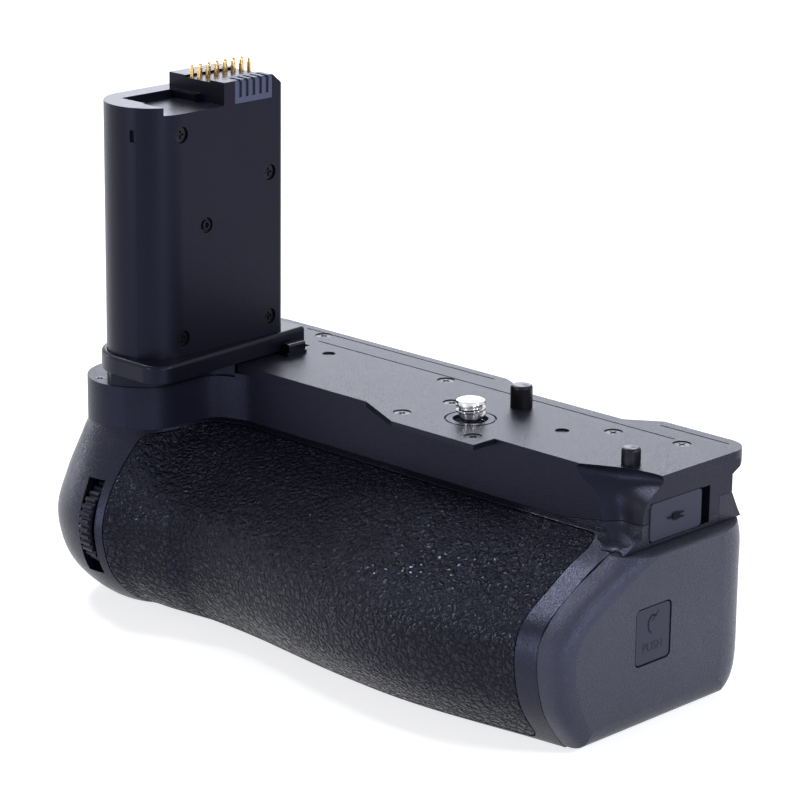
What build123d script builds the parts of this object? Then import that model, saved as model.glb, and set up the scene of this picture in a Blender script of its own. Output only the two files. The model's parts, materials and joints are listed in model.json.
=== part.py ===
from build123d import *
import math
import os

# Vertical camera battery grip. Millimetres, +Z up, -Y towards the front of the camera.
# The origin is the mouth of the tripod socket in the base, straight below the camera screw.

# Overall sizes and general clearances
PLATE_TOP = 52.6
SEAM_Z = 40.2
WALL_Y = -7.0
WALL_X = 53.3
BACK_Y = 26.0
OVERRUN = 4.0
SEAT_GAP = 0.05
PANEL_GAP = 0.1
FAR = 400.0
RUN_CLEAR = 0.06
KEY_CLEAR = 0.15

# Grip form, told level by level as shares of these sizes
GRIP_DEPTH = 28.0
BULGE_X = -77.5
BULGE_Y = -22.3
BULGE_R = 19.8
BACK_CORNER_R = 10.0
VALLEY_X = -52.0
BULGE_END_ANGLE = -60
height_shares = [0, 0.04, 0.125, 0.25, 0.385, 0.525, 0.66, 0.76, 0.84, 0.91, 0.96, 1]
depth_shares = [0.66, 0.72, 0.82, 0.93, 0.985, 1, 0.94, 0.76, 0.565, 0.37, 0.17, 0]
bulge_r_shares = [0.58, 0.657, 0.788, 0.92, 0.985, 1, 0.924, 0.843, 0.763, 0.692, 0.641, 0.606]
bulge_x_shares = [0.076, 0.056, 0.03, 0.01, 0, 0, -0.005, -0.03, -0.066, -0.106, -0.141, -0.177]
bulge_y_shares = [0.25, 0.18, 0.1, 0.035, 0.005, 0, 0, 0.01, 0.03, 0.055, 0.08, 0.096]
back_shares = [0.67, 0.83, 0.965, 1, 1, 1, 1, 1, 1, 0.985, 0.945, 0.908]
corner_shares = [0, 0, 0, 0, 0, 0, 0, 0.12, 0.32, 0.58, 0.82, 1]
flank_shares = [(0.25, 0, 0), (0.5, -0.152, 0.4), (0.75, -0.22, 0.23)]
crown_shares = [
    (-0.68, 1.04), (-0.42, 1.125), (-0.15, 1.195), (0.22, 1.215), (0.56, 1.11), (0.835, 1), (0.94, 0.965),
]
crown_end_share = 0.94
crown_lean_share = 0.2

# Shell of the lower housing and rear cover
SHELL_T = 2.6
FLOOR_T = 2.4
BULKHEAD_T = 2.4
REAR_SEAM_Y = 17.6
REAR_TOP_Z = 43.9
REAR_TOP_Y = 21.7
RIB_T = 1.6
RIB_Y0 = -18.0
RIB_Y1 = 16.0
rib_shares = [-0.98, -0.54, -0.25, 0.25, 0.625]

# End cap
CAP_SEAM_X = 50.0
CAP_FACE_X = 56.6
CAP_TOP_Z = 38.2
CAP_BOTTOM_Z = 0.9
CAP_WALL_T = 2.3
CAP_GAP = 0.15
CAP_RIM = 4.2
CAP_TOP_RIM = 0.8
CAP_BACK_RIM = 10.0
CAP_POST_R = 2.0
CAP_POST_Y = 18.0
CAP_POST_LOW_Z = 9.0
CAP_POST_HIGH_Z = 26.0
CAP_ROOM_Y = 20.6
CAP_ROOM_Z0 = 2.8
CAP_ROOM_Z1 = 31.0
CAP_ROOM_R = 2.0
cap_rim_shares = [(0, 0), (0.5, 0.03), (0.82, 0.28), (0.96, 0.68), (1, 1)]
cap_height_shares = [0, 0.1, 0.22, 0.36, 0.5, 0.64, 0.76, 0.88, 1]

# Batteries, tray and chamber
BATTERY_L = 56.0
BATTERY_W = 40.0
BATTERY_T = 20.5
BATTERY_EDGE_R = 1.6
BATTERY_CLEAR = 0.2
TRAY_WALL_T = 1.0
TRAY_END_T = 1.6
TRAY_CLEAR = 0.25
TRAY_RAIL_H = 13.0
TRAY_SLOT_L = 9.0
TRAY_SLOT_W = 26.0
tray_slot_shares = [0.2, 0.5, 0.8]
CHAMBER_WALL_T = 1.0
CHAMBER_Z = 5.4
CHAMBER_EDGE = 0.7
CHAMBER_ROOM = 0.8
BLADE_PITCH = 5.0
BLADE_W = 2.0
BLADE_H = 4.0
BLADE_UP = 5.2
BLADE_T = 0.6
TERMINAL_DEEP = 0.5
TERMINAL_W = 2.6

# Skins
SKIN_T = 1.0
SKIN_LEFT_X = -71.0
SKIN_RIGHT_X = 44.7
SKIN_TOP_Z = 39.5
SKIN_BOTTOM_Z = 0.9
SKIN_LEFT_R = 1.5
SKIN_RIGHT_R = 2.8
SKIN_GROOVE = 0.25
THUMB_LEFT_X = -62.0
THUMB_RIGHT_X = -16.0
THUMB_TOP_Z = 37.0
THUMB_BOTTOM_Z = 7.0
THUMB_CORNER_R = 6.0

# Upper housing and camera plate
PLATE_T = 1.8
CEILING_T = 3.0
UPPER_WALL_T = 2.4
PLATE_RIGHT_X = 53.6
PLATE_BACK_Y = 27.8
NOTCH_Y = 22.85
NOTCH_LEFT_X = -3.7
NOTCH_RIGHT_X = 22.6
NOTCH_LEFT_RUN = 11.2
NOTCH_RIGHT_RUN = 7.3
PLATE_CORNER_R = 5.6
NECK_TOP_Z = 49.8
NECK_EDGE_X = -64.0
NECK_BACK_Y = 15.6
TAB_FRONT_Y = -13.4
TAB_LEFT_X = -23.9
TAB_SLOPE_RUN = 13.7
TAB_RIGHT_X = 13.2
TAB_T = 1.2
FLUTE_START_X = 36.0
FLUTE_BACK_Y = -1.9
FLUTE_FRONT_Y = -50.0
FLUTE_END_X = 60.0
flute_height_shares = [1.002, 0.916, 0.838, 0.779, 0.749, 0.726]
flute_shares = [
    [(0.647, 1.143), (0.735, 0.821), (0.814, 0.507), (0.893, 0.293), (1.041, 0.271)],
    [(0.713, 1.171), (0.779, 0.843), (0.842, 0.571), (0.919, 0.557), (1.041, 0.8)],
    [(0.769, 1.171), (0.814, 0.886), (0.859, 0.671), (0.929, 0.757), (1.041, 1)],
    [(0.799, 1.171), (0.837, 0.914), (0.874, 0.757), (0.934, 0.871), (1.041, 1.057)],
    [(0.797, 1.5), (0.848, 1.271), (0.893, 1.114), (0.946, 1.229), (1.041, 1.457)],
    [(0.844, 2), (0.901, 1.729), (0.944, 1.614), (0.985, 1.714), (1.051, 1.943)],
]
rise_shares = [(0.6, 1), (0.79, 1.04), (0.93, 1.057), (1.01, 1.079)]
OVERHANG_DROP = 3.0
OVERHANG_ROOT = 1.2
GROOVE_W = 0.4
GROOVE_DEEP = 0.35
groove_shares = [(-1.224, 0.743, 0.705), (-1.405, -0.308, 0.917), (0.583, 0.927, 0.903)]
UPPER_ROOM_X = -60.0
NECK_FLOOR_T = 1.6

# Camera screw, its gear and the thumbwheel that turns it
SCREW_R = 3.175
SCREW_NECK_R = 2.35
SCREW_RISE = 4.3
SCREW_THREAD_L = 2.9
SCREW_HOLE_R = 3.8
BUSH_R = 4.6
BUSH_T = 1.2
BUSH_HOLE_R = 3.4
BUSH_SINK = 0.9
RING_GROOVE_R = 5.4
SCREW_TEETH = 12
WHEEL_TEETH = 39
gear_add_share = 0.8
gear_root_share = 1.1
tooth_tip_share = 0.28
tooth_root_share = 0.6
PINION_SINK = 0.2
PINION_HUB_R = 2.9
WHEEL_X = 8.5
WHEEL_Y = 12.9
WHEEL_Z = 44.7
WHEEL_T = 4.0
WHEEL_ROOM = 0.5
WHEEL_RIM_T = 2.2
WHEEL_WEB_SINK = 1.2
WHEEL_HUB_R = 3.2
AXLE_R = 1.5
BRIDGE_T = 1.0
BRIDGE_Z = 40.7
BRIDGE_POST_R = 2.0
BRIDGE_REACH = 16.0
BRIDGE_Y0 = -1.5
BRIDGE_Y1 = 14.0

# Locating pins
PIN_REAR_X = 1.8
PIN_REAR_Y = 14.0
PIN_REAR_R = 2.4
PIN_REAR_H = 5.0
PIN_FRONT_X = 44.1
PIN_FRONT_Y = 0.0
PIN_FRONT_R = 2.0
PIN_FRONT_H = 3.6
PIN_EDGE_R = 0.6
PIN_ROOT = 1.4
PIN_STEP = 0.5

# Tower that fills the battery bay of the camera
TOWER_X0 = -85.25
TOWER_X1 = -64.75
TOWER_Y0 = -32.2
TOWER_Y1 = 7.8
TOWER_NOSE_R = 10.0
TOWER_BACK_R = 1.2
TOWER_FOOT_Z = 44.0
TOWER_TOP_Z = 112.9
TOWER_WALL_T = 1.8
TOWER_SPLIT_X = -69.9
RECESS_Z = 111.2
RECESS_X = -80.2
RECESS_Y0 = -26.0
RECESS_Y1 = -11.6
STEP_Y0 = -26.7
STEP_X = -72.4
BLOCK_X = -82.4
BLOCK_Y = -10.0
BLOCK_TOP_Z = 116.3
BLOCK_CHAMFER_Y = 3.3
BLOCK_CHAMFER_Z = 2.6
PIN_FLOOR_DROP = 0.5
TOWER_SCREW_R = 1.75
TOWER_SCREW_DEEP = 1.1
TOWER_NOTCH_L = 1.4
TOWER_NOTCH_Z0 = 105.4
TOWER_NOTCH_Z1 = 108.0
TOWER_NOTCH_DEEP = 1.2
FOOT_INSET = 0.3
RISER_GAP = 0.8
tower_screw_shares = [(0.8955, 0.2425), (0.695, 0.895), (0.149, 0.895), (0.144, 0.245)]
TOWER_BOSS_Y = -15.4
TOWER_BOSS_Z = 85.6
TOWER_BOSS_RING_R = 1.05
TOWER_BOSS_RING_T = 0.4
TOWER_BOARD_Y0 = -22.0
TOWER_BOARD_Z0 = 56.0

# Contact comb and sprung pins on the tower
COMB_Y0 = -6.75
COMB_Y1 = 4.3
COMB_Z0 = 111.2
COMB_DEEP = 4.6
COMB_TOP_T = 1.3
COMB_EDGE_R = 0.6
COMB_SLOT_DEEP = 0.6
PAD_EDGE = 1.0
COMB_SIDE_T = 1.3
COMB_RIBS = 6
COMB_RIB_SHARE = 0.52
CONTACT_R = 0.45
CONTACT_TIP_R = 0.32
CONTACT_TIP_L = 0.9
CONTACT_PITCH = 2.5
CONTACT_COUNT = 7
CONTACT_ROWS = 2
CONTACT_ROW_X = -73.8
CONTACT_ROW_GAP = 2.3
CONTACT_Y0 = -9.0
CONTACT_TOP_Z = 118.6
CONTACT_L = 8.6
CAVITY_TOP_Z = 109.6

# Collar round the foot of the tower
COLLAR_Z0 = 53.4
COLLAR_T = 4.0
COLLAR_LEFT_X = -86.55
COLLAR_RIGHT_X = -60.5
COLLAR_NOSE_Y = -33.7
COLLAR_TAIL_X = -64.2
COLLAR_TAIL_Y = 14.4
COLLAR_NOSE_R = 12.0
COLLAR_SIDE_R = 5.0
COLLAR_TAIL_R = 1.0
COLLAR_EDGE_R = 0.8

# Locating hook beside the collar
HOOK_X0 = -63.9
HOOK_X1 = -60.6
HOOK_NOSE_X = -62.9
HOOK_Y0 = 5.2
HOOK_Y1 = 11.2
HOOK_FOOT_T = 0.7
HOOK_H = 2.7
HOOK_EDGE_R = 0.5

# Port door on the right wall
DOOR_Y0 = -4.4
DOOR_L = 16.1
DOOR_Z0 = 39.1
DOOR_H = 8.0
DOOR_T = 1.5
DOOR_CORNER_R = 0.9
DOOR_BEAD_R = 0.3
DOOR_SLOT_W = 2.7
DOOR_SLOT_DEEP = 2.0
DOOR_TONGUE = 1.0
DOOR_TONGUE_W = 6.0
DOOR_TONGUE_H = 1.2
PORT_W = 9.0
PORT_H = 3.2
PORT_L = 7.0
PORT_T = 0.35

# Front and rear command dials
FRONT_DIAL_X = -75.45
FRONT_DIAL_Z = 19.7
FRONT_DIAL_R = 10.0
FRONT_DIAL_W = 3.1
FRONT_DIAL_PROUD = 1.0
FRONT_SLOT_W = 4.5
FRONT_SLOT_H = 21.4
FRONT_SLOT_DEEP = 6.0
REAR_DIAL_X = -82.5
REAR_DIAL_Z = 29.0
REAR_DIAL_R = 8.0
REAR_DIAL_W = 4.2
REAR_DIAL_PROUD = 1.3
REAR_SLOT_W = 5.2
DIAL_ROOM = 0.5
DIAL_TEETH = 36
DIAL_TOOTH_DEEP = 0.6
dial_tip_share = 0.35
dial_root_share = 0.75
DIAL_RIM_T = 1.4
DIAL_HUB_R = 2.6
DIAL_FACE_SINK = 0.8
YOKE_SEAT = 0.8
DIAL_AXLE_R = 1.2
CHEEK_T = 1.2
CHEEK_CLEAR = 0.3

# Shutter button and its lock ring
SHUTTER_Y = -19.8
SHUTTER_Z = 18.6
SHUTTER_R = 5.4
LAND_R = 8.4
LAND_SINK = 1.4
RING_OUT_R = 7.7
RING_IN_R = 5.75
RING_PROUD = 1.0
RING_SINK = 1.8
RING_LUG_L = 1.8
RING_LUG_W = 3.2
SHUTTER_PROUD = 1.7
SHUTTER_SINK = 2.6
SHUTTER_TRAVEL = 1.2
SHUTTER_STEM_R = 1.2
SHUTTER_BOSS_L = 6.2
SHUTTER_RIM = 1.4
SHUTTER_DISH_R = 14.0
SHUTTER_DISH = 0.5
SWITCH_T = 1.2
SWITCH_WALL_T = 0.8

# Buttons on the end and the back
ISO_Y = -3.0
ISO_Z = 27.0
ISO_R = 2.8
AF_X = -67.0
AF_Z = 34.8
AF_R = 3.2
BUTTON_PROUD = 0.7
BUTTON_RIM = 2.0
BUTTON_BOSS_L = 3.4
BUTTON_FLANGE_R = 0.7
BUTTON_FLANGE_T = 0.6
BUTTON_TRAVEL = 0.7
BUTTON_EDGE_R = 0.35

# Joystick
STICK_X = -75.3
STICK_Z = 15.0
STICK_R = 3.8
STICK_PROUD = 2.0
STICK_HOLE_R = 5.4
STICK_PIVOT_DEEP = 5.6
GIMBAL_OUT_R = 5.2
GIMBAL_IN_R = 4.3
GIMBAL_T = 1.6
STICK_NECK_R = 2.0
STICK_HUB_R = 3.6
STICK_CAP_T = 3.8
STICK_PIN_R = 0.5
CUP_IN_R = 6.0
CUP_WALL_T = 0.8
CUP_FLOOR_DROP = 1.9

# Base
SOCKET_R = 3.175
SOCKET_BODY_R = 6.0
SOCKET_FLANGE_R = 8.6
SOCKET_FLANGE_T = 1.4
SOCKET_L = 4.6
SOCKET_TOP_Z = 5.2
BASE_SCREW_R = 1.9
BASE_SCREW_DEEP = 1.2
BASE_SCREW_BOSS_R = 2.6
base_screw_shares = [(-1.4, -0.5), (-0.7, 0.45), (0.35, -0.7), (0.75, 0.45), (-0.5, -0.72), (-1.4, 0.3)]
PLATE_SCREW_R = 1.9
PLATE_SCREW_DEEP = 0.8
plate_screw_shares = [
    (-1.276, 0.923), (-0.439, 0.669), (-0.248, -0.271), (-0.205, 0.231), (0.167, -0.34),
    (0.508, 0.56), (0.796, 0.704),
]
dimple_shares = [(-1.056, 0.535), (0.36, 0.285)]
DIMPLE_R = 1.5
DIMPLE_DEEP = 0.4
NECK_SCREW_X = -84.2
NECK_SCREW_Y = -29.8
NECK_SCREW_R = 1.3
SCREW_HEAD_T = 0.6
SCREW_SHANK_R = 0.8
SCREW_SHANK_L = 1.4
CROSS_L = 1.9
cross_share = 1.2
CROSS_W = 0.45
CROSS_DEEP = 0.35

# Latch in the end cap
KEY_Y0 = -11.5
KEY_W = 10.4
KEY_Z0 = 15.3
KEY_H = 11.7
KEY_T = 2.0
KEY_CORNER_R = 1.0
KEY_GAP = 0.35
KEY_PIVOT_UP = 3.3
KEY_PIN_R = 0.5
KEY_PIN_BITE = 1.2
FINGER_X0 = 51.4
FINGER_W = 4.0
FINGER_T = 1.8
BOLT_X0 = 50.9
BOLT_T = 1.4
BOLT_W = 6.0
BOLT_Z0 = 3.4
BOLT_TOP_Z = 22.0
BOLT_NOSE_X = 48.3
BOLT_NOSE_T = 1.2
BOLT_WINDOW_H = 2.8
BOLT_LIP_T = 0.8
BOLT_POCKET_Z = 2.0
BOLT_RAIL_T = 0.8
BOLT_RAIL_L = 6.8
BOLT_RAIL_Z = 8.0
BOLT_RAIL_X = 50.7
BOLT_BACK_W = 3.0

# Boards
MAIN_BOARD_T = 1.2
STANDOFF_H = 1.3
STANDOFF_R = 2.2
standoff_shares = [(-0.9, -0.25), (-0.9, 0.65), (0.6, -0.25), (0.6, 0.65)]
board_x_shares = (-0.98, 0.71)
board_y_shares = (-0.36, 0.8)
chip_shares = [(0.2, 0.35, 1.6), (0.45, 0.6, 2.4), (0.72, 0.4, 1.4), (0.86, 0.72, 1.0), (0.32, 0.75, 0.8)]


def levels(shares, size):
    return [share * size for share in shares]


LEVEL_Z = levels(height_shares, SEAM_Z)
LEVEL_DEPTH = levels(depth_shares, GRIP_DEPTH)
LEVEL_BACK = levels(back_shares, BACK_Y)
LEVEL_BULGE_R = levels(bulge_r_shares, BULGE_R)

# Places worked out from the sizes above
BULKHEAD_X = CAP_SEAM_X - BULKHEAD_T
TRAY_X1 = CAP_SEAM_X
BATTERY_OUTER_X = TRAY_X1 - TRAY_END_T - BATTERY_CLEAR - BATTERY_L
DIVIDER_X = BATTERY_OUTER_X - BATTERY_CLEAR - TRAY_WALL_T
BATTERY_INNER_X = DIVIDER_X - BATTERY_CLEAR - BATTERY_L
TRAY_X0 = BATTERY_INNER_X - BATTERY_CLEAR - TRAY_WALL_T
TRAY_Y = BATTERY_W / 2 + BATTERY_CLEAR + TRAY_WALL_T
TRAY_Z0 = CHAMBER_Z + CHAMBER_WALL_T + TRAY_CLEAR
BATTERY_Z = TRAY_Z0 + TRAY_WALL_T + BATTERY_CLEAR
TRAY_Z1 = BATTERY_Z + BATTERY_T
BAY_Y = TRAY_Y + TRAY_CLEAR
BAY_Z0 = CHAMBER_Z + CHAMBER_WALL_T
BAY_Z1 = TRAY_Z1 + TRAY_CLEAR
CHAMBER_X0 = TRAY_X0 - CHAMBER_ROOM - CHAMBER_WALL_T
CHAMBER_Y = BAY_Y + CHAMBER_WALL_T
CHAMBER_Z1 = BAY_Z1 + CHAMBER_WALL_T
CEILING_Z = PLATE_TOP - CEILING_T
PLATE_Z0 = PLATE_TOP - PLATE_T
CAP_INNER_X = CAP_FACE_X - CAP_WALL_T
KEY_PIVOT_X = CAP_FACE_X - KEY_CLEAR - KEY_T / 2
KEY_PIVOT_Z = KEY_Z0 + KEY_PIVOT_UP
KEY_MID_Y = KEY_Y0 + KEY_W / 2
GEAR_SPAN = math.hypot(WHEEL_X, WHEEL_Y)
GEAR_MODULE = 2 * GEAR_SPAN / (SCREW_TEETH + WHEEL_TEETH)
WHEEL_PITCH_R = GEAR_MODULE * WHEEL_TEETH / 2
SCREW_PITCH_R = GEAR_MODULE * SCREW_TEETH / 2
GEAR_ADD = GEAR_MODULE * gear_add_share
GEAR_ROOT = GEAR_MODULE * gear_root_share
WHEEL_TIP_R = WHEEL_PITCH_R + GEAR_ADD
GEAR_ANGLE = math.degrees(math.atan2(WHEEL_Y, WHEEL_X))


def block(x0, x1, y0, y1, z0, z1):
    """Plain box between two corners."""
    return Pos((x0 + x1) / 2, (y0 + y1) / 2, (z0 + z1) / 2) * Box(x1 - x0, y1 - y0, z1 - z0)


def post(x, y, radius, z0, z1):
    """Round bar along Z."""
    return Pos(x, y, (z0 + z1) / 2) * Cylinder(radius, z1 - z0)


def bar_x(y, z, radius, x0, x1):
    return Pos((x0 + x1) / 2, y, z) * Rot(0, 90, 0) * Cylinder(radius, x1 - x0)


def bar_y(x, z, radius, y0, y1):
    return Pos(x, (y0 + y1) / 2, z) * Rot(90, 0, 0) * Cylinder(radius, y1 - y0)


def prism_y(points, y0, y1):
    """Outline in X and Z, drawn out along Y."""
    plane = Plane(origin=(0, y0, 0), x_dir=(1, 0, 0), z_dir=(0, -1, 0))
    return extrude(plane * make_face(Polyline(*points, close=True)), amount=y0 - y1)


def prism_z(points, z0, z1):
    return extrude(Plane.XY.offset(z0) * make_face(Polyline(*points, close=True)), amount=z1 - z0)


def rounded_block(x0, x1, y0, y1, z0, z1, radius, axis):
    """Box whose four edges along one axis are rounded."""
    body = block(x0, x1, y0, y1, z0, z1)
    return fillet(body.edges().filter_by(axis), radius)


def toothed_disc(outer_r, root_r, teeth, thickness, tip_share, root_share, phase=0.0):
    """Disc on XY from z 0, with straight-sided teeth. Shares are of the pitch angle."""
    pitch = 360 / teeth
    points = []
    for tooth in range(teeth):
        middle = phase + tooth * pitch
        corners = ((root_r, -root_share), (outer_r, -tip_share), (outer_r, tip_share), (root_r, root_share))
        for radius, share in corners:
            angle = math.radians(middle + share * pitch / 2)
            points.append((radius * math.cos(angle), radius * math.sin(angle)))
    return extrude(make_face(Polyline(*points, close=True)), amount=thickness)


def slope_factor(values, index):
    """Level thickness of a wall for each unit of thickness square to its surface."""
    low = max(index - 1, 0)
    high = min(index + 1, len(values) - 1)
    rise = LEVEL_Z[high] - LEVEL_Z[low]
    run = values[high] - values[low]
    return math.hypot(rise, run) / rise


def bulge_at(index, inset):
    """Centre and radius of the left bulge at one level."""
    centre_x = BULGE_X + bulge_x_shares[index] * BULGE_R
    centre_y = BULGE_Y + bulge_y_shares[index] * BULGE_R
    return centre_x, centre_y, LEVEL_BULGE_R[index] - inset * slope_factor(LEVEL_BULGE_R, index)


def flank_points(start, end, pull):
    """Points from the bulge to the valley, pulled into a corner towards the neck."""
    run_x = end[0] - start[0]
    run_y = end[1] - start[1]
    inner = []
    for share, out_x, out_y in flank_shares:
        inner.append((start[0] + run_x * (share + pull * out_x), start[1] + run_y * (share + pull * out_y)))
    return [start] + inner + [end]


def crown_points(index, thickness):
    depth = LEVEL_DEPTH[index]
    points = [(along * WALL_X, WALL_Y - depth * share + thickness) for along, share in crown_shares]
    points.append((WALL_X, WALL_Y - depth * crown_end_share + thickness))
    return points


def outline(index, inset=0.0, back=None, z=None):
    """Closed plan outline of the grip at one level, moved inwards by inset."""
    height = LEVEL_Z[index] if z is None else z
    centre_x, centre_y, radius = bulge_at(index, inset)
    back_y = LEVEL_BACK[index] - inset * slope_factor(LEVEL_BACK, index) if back is None else back - inset
    left = centre_x - radius
    corner = BACK_CORNER_R - inset
    thickness = inset * slope_factor(LEVEL_DEPTH, index)
    valley = (VALLEY_X, WALL_Y - LEVEL_DEPTH[index] + thickness)
    end_angle = math.radians(BULGE_END_ANGLE)
    mid_angle = math.radians((BULGE_END_ANGLE - 180) / 2)
    arc_end = (centre_x + radius * math.cos(end_angle), centre_y + radius * math.sin(end_angle))
    arc_mid = (centre_x + radius * math.cos(mid_angle), centre_y + radius * math.sin(mid_angle))
    crown = crown_points(index, thickness)
    diagonal = corner * math.sqrt(0.5)
    corner_mid = (left + corner - diagonal, back_y - corner + diagonal)

    def at(point):
        return Vector(point[0], point[1], height)

    valley_way = Vector(1, 0, 0)
    return Wire([
        Edge.make_line(at(crown[-1]), at((WALL_X, back_y))),
        Edge.make_line(at((WALL_X, back_y)), at((left + corner, back_y))),
        Edge.make_three_point_arc(at((left + corner, back_y)), at(corner_mid), at((left, back_y - corner))),
        Edge.make_line(at((left, back_y - corner)), at((left, centre_y))),
        Edge.make_three_point_arc(at((left, centre_y)), at(arc_mid), at(arc_end)),
        Edge.make_spline(
            [at(point) for point in flank_points(arc_end, valley, corner_shares[index])],
            tangents=[Vector(-math.sin(end_angle), math.cos(end_angle), 0), valley_way],
        ),
        Edge.make_spline(
            [at(point) for point in [valley] + crown],
            tangents=[valley_way, Vector(1, depth_shares[index] * crown_lean_share, 0)],
        ),
    ])


def grip_form(inset):
    return Solid.make_loft([outline(index, inset) for index in range(len(height_shares))])


def flute_cutter():
    """Scoop in the front right corner, told by rings that get shallower towards its foot."""
    rings = []
    for height_share, ring_shares in zip(flute_height_shares, flute_shares):
        z = height_share * PLATE_TOP
        inner = [Vector(along * WALL_X, across * WALL_Y, z) for along, across in ring_shares]
        corners = [
            inner[-1], Vector(FLUTE_END_X, inner[-1].Y, z), Vector(FLUTE_END_X, FLUTE_FRONT_Y, z),
            Vector(inner[0].X, FLUTE_FRONT_Y, z), inner[0],
        ]
        sides = [Edge.make_line(start, end) for start, end in zip(corners, corners[1:])]
        rings.append(Wire([Edge.make_spline(inner)] + sides))
    return Solid.make_loft(rings)


def seam_rise(gap):
    """Block under the seam where it climbs towards the port door, lowered by a gap."""
    line = [(along * WALL_X, up * SEAM_Z - gap) for along, up in rise_shares]
    foot = [(line[-1][0], SEAM_Z - OVERRUN), (line[0][0], SEAM_Z - OVERRUN)]
    return prism_y(line + foot, FLUTE_FRONT_Y, DOOR_Y0 - KEY_CLEAR)


def skin_region(grow=0.0):
    """Prism that bounds the front skin, seen from the front."""
    body = block(
        SKIN_LEFT_X - grow, SKIN_RIGHT_X + grow, BULGE_Y - BULGE_R - OVERRUN, WALL_Y,
        SKIN_BOTTOM_Z - grow, SKIN_TOP_Z + grow,
    )
    body = fillet(body.edges().filter_by(Axis.Y).sort_by(Axis.X)[:2], SKIN_LEFT_R + grow)
    return fillet(body.edges().filter_by(Axis.Y).sort_by(Axis.X)[-2:], SKIN_RIGHT_R + grow)


def thumb_region(grow=0.0):
    return rounded_block(
        THUMB_LEFT_X - grow, THUMB_RIGHT_X + grow, REAR_SEAM_Y + OVERRUN / 2, BACK_Y + OVERRUN,
        THUMB_BOTTOM_Z - grow, THUMB_TOP_Z + grow, THUMB_CORNER_R, Axis.Y,
    )


def prism_x(points, x0, x1):
    """Outline in Y and Z, drawn out along X."""
    plane = Plane(origin=(x0, 0, 0), x_dir=(0, 1, 0), z_dir=(1, 0, 0))
    return extrude(plane * make_face(Polyline(*points, close=True)), amount=x1 - x0)


def disc_on(plane, radius, low, high):
    """Round solid on a plane, between two heights along its normal."""
    return plane * Pos(0, 0, (low + high) / 2) * Cylinder(radius, high - low)


def behind(y0, y1):
    return block(-FAR, FAR, y0, y1, -FAR, FAR)


def level_value(values, z):
    """Smooth value of a level table at any height."""
    index = 0
    while index < len(LEVEL_Z) - 2 and z > LEVEL_Z[index + 1]:
        index += 1

    def slope(place):
        low = max(place - 1, 0)
        high = min(place + 1, len(values) - 1)
        return (values[high] - values[low]) / (LEVEL_Z[high] - LEVEL_Z[low])

    span = LEVEL_Z[index + 1] - LEVEL_Z[index]
    t = (z - LEVEL_Z[index]) / span
    blend = t * t * (3 - 2 * t)
    lean = span * t * (1 - t) * (slope(index) * (1 - t) - slope(index + 1) * t)
    return values[index] + blend * (values[index + 1] - values[index]) + lean


def left_face_x(z):
    lefts = [bulge_at(index, 0)[0] - bulge_at(index, 0)[2] for index in range(len(LEVEL_Z))]
    return level_value(lefts, z)


def shutter_plane():
    """Sunk land of the release button on the left end."""
    origin = (left_face_x(SHUTTER_Z) + LAND_SINK, SHUTTER_Y, SHUTTER_Z)
    return Plane(origin=origin, x_dir=(0, 0, 1), z_dir=(-1, 0, 0))


def iso_plane():
    return Plane(origin=(left_face_x(ISO_Z), ISO_Y, ISO_Z), x_dir=(0, 0, 1), z_dir=(-1, 0, 0))


def af_plane():
    return Plane(origin=(AF_X, level_value(LEVEL_BACK, AF_Z), AF_Z), x_dir=(1, 0, 0), z_dir=(0, 1, 0))


def control_bosses(outer):
    """Thickened seats behind the three push buttons."""
    bosses = disc_on(shutter_plane(), LAND_R + SHUTTER_RIM, -SHUTTER_BOSS_L, OVERRUN)
    bosses += disc_on(iso_plane(), ISO_R + BUTTON_RIM, -BUTTON_BOSS_L, OVERRUN)
    bosses += disc_on(af_plane(), AF_R + BUTTON_RIM, -BUTTON_BOSS_L, OVERRUN)
    return bosses & outer


def control_holes():
    plane = shutter_plane()
    holes = disc_on(plane, LAND_R, 0, OVERRUN)
    holes += disc_on(plane, RING_OUT_R + RUN_CLEAR, -RING_SINK - RUN_CLEAR, OVERRUN)
    holes += disc_on(plane, SHUTTER_R + KEY_CLEAR, -SHUTTER_SINK - SHUTTER_TRAVEL - KEY_CLEAR, OVERRUN)
    holes += disc_on(plane, SHUTTER_STEM_R + KEY_CLEAR, -SHUTTER_BOSS_L - OVERRUN, OVERRUN)
    for plane, radius in ((iso_plane(), ISO_R), (af_plane(), AF_R)):
        holes += disc_on(plane, radius + KEY_CLEAR, -BUTTON_BOSS_L - OVERRUN, OVERRUN)
        holes += disc_on(plane, radius + BUTTON_RIM, -BUTTON_BOSS_L - OVERRUN, -BUTTON_BOSS_L)
    holes += block(
        FRONT_DIAL_X - FRONT_SLOT_W / 2, FRONT_DIAL_X + FRONT_SLOT_W / 2,
        -FAR, BULGE_Y - BULGE_R + FRONT_SLOT_DEEP,
        FRONT_DIAL_Z - FRONT_SLOT_H / 2, FRONT_DIAL_Z + FRONT_SLOT_H / 2,
    )
    holes += bar_x(
        rear_dial_y(), REAR_DIAL_Z, REAR_DIAL_R + DIAL_ROOM,
        REAR_DIAL_X - REAR_SLOT_W / 2, REAR_DIAL_X + REAR_SLOT_W / 2,
    )
    holes += bar_y(STICK_X, STICK_Z, STICK_HOLE_R, BACK_Y - FRONT_SLOT_DEEP, FAR)
    return holes


def front_dial_y():
    return BULGE_Y - BULGE_R - FRONT_DIAL_PROUD + FRONT_DIAL_R


def rear_dial_y():
    return BACK_Y + REAR_DIAL_PROUD - REAR_DIAL_R


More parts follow.
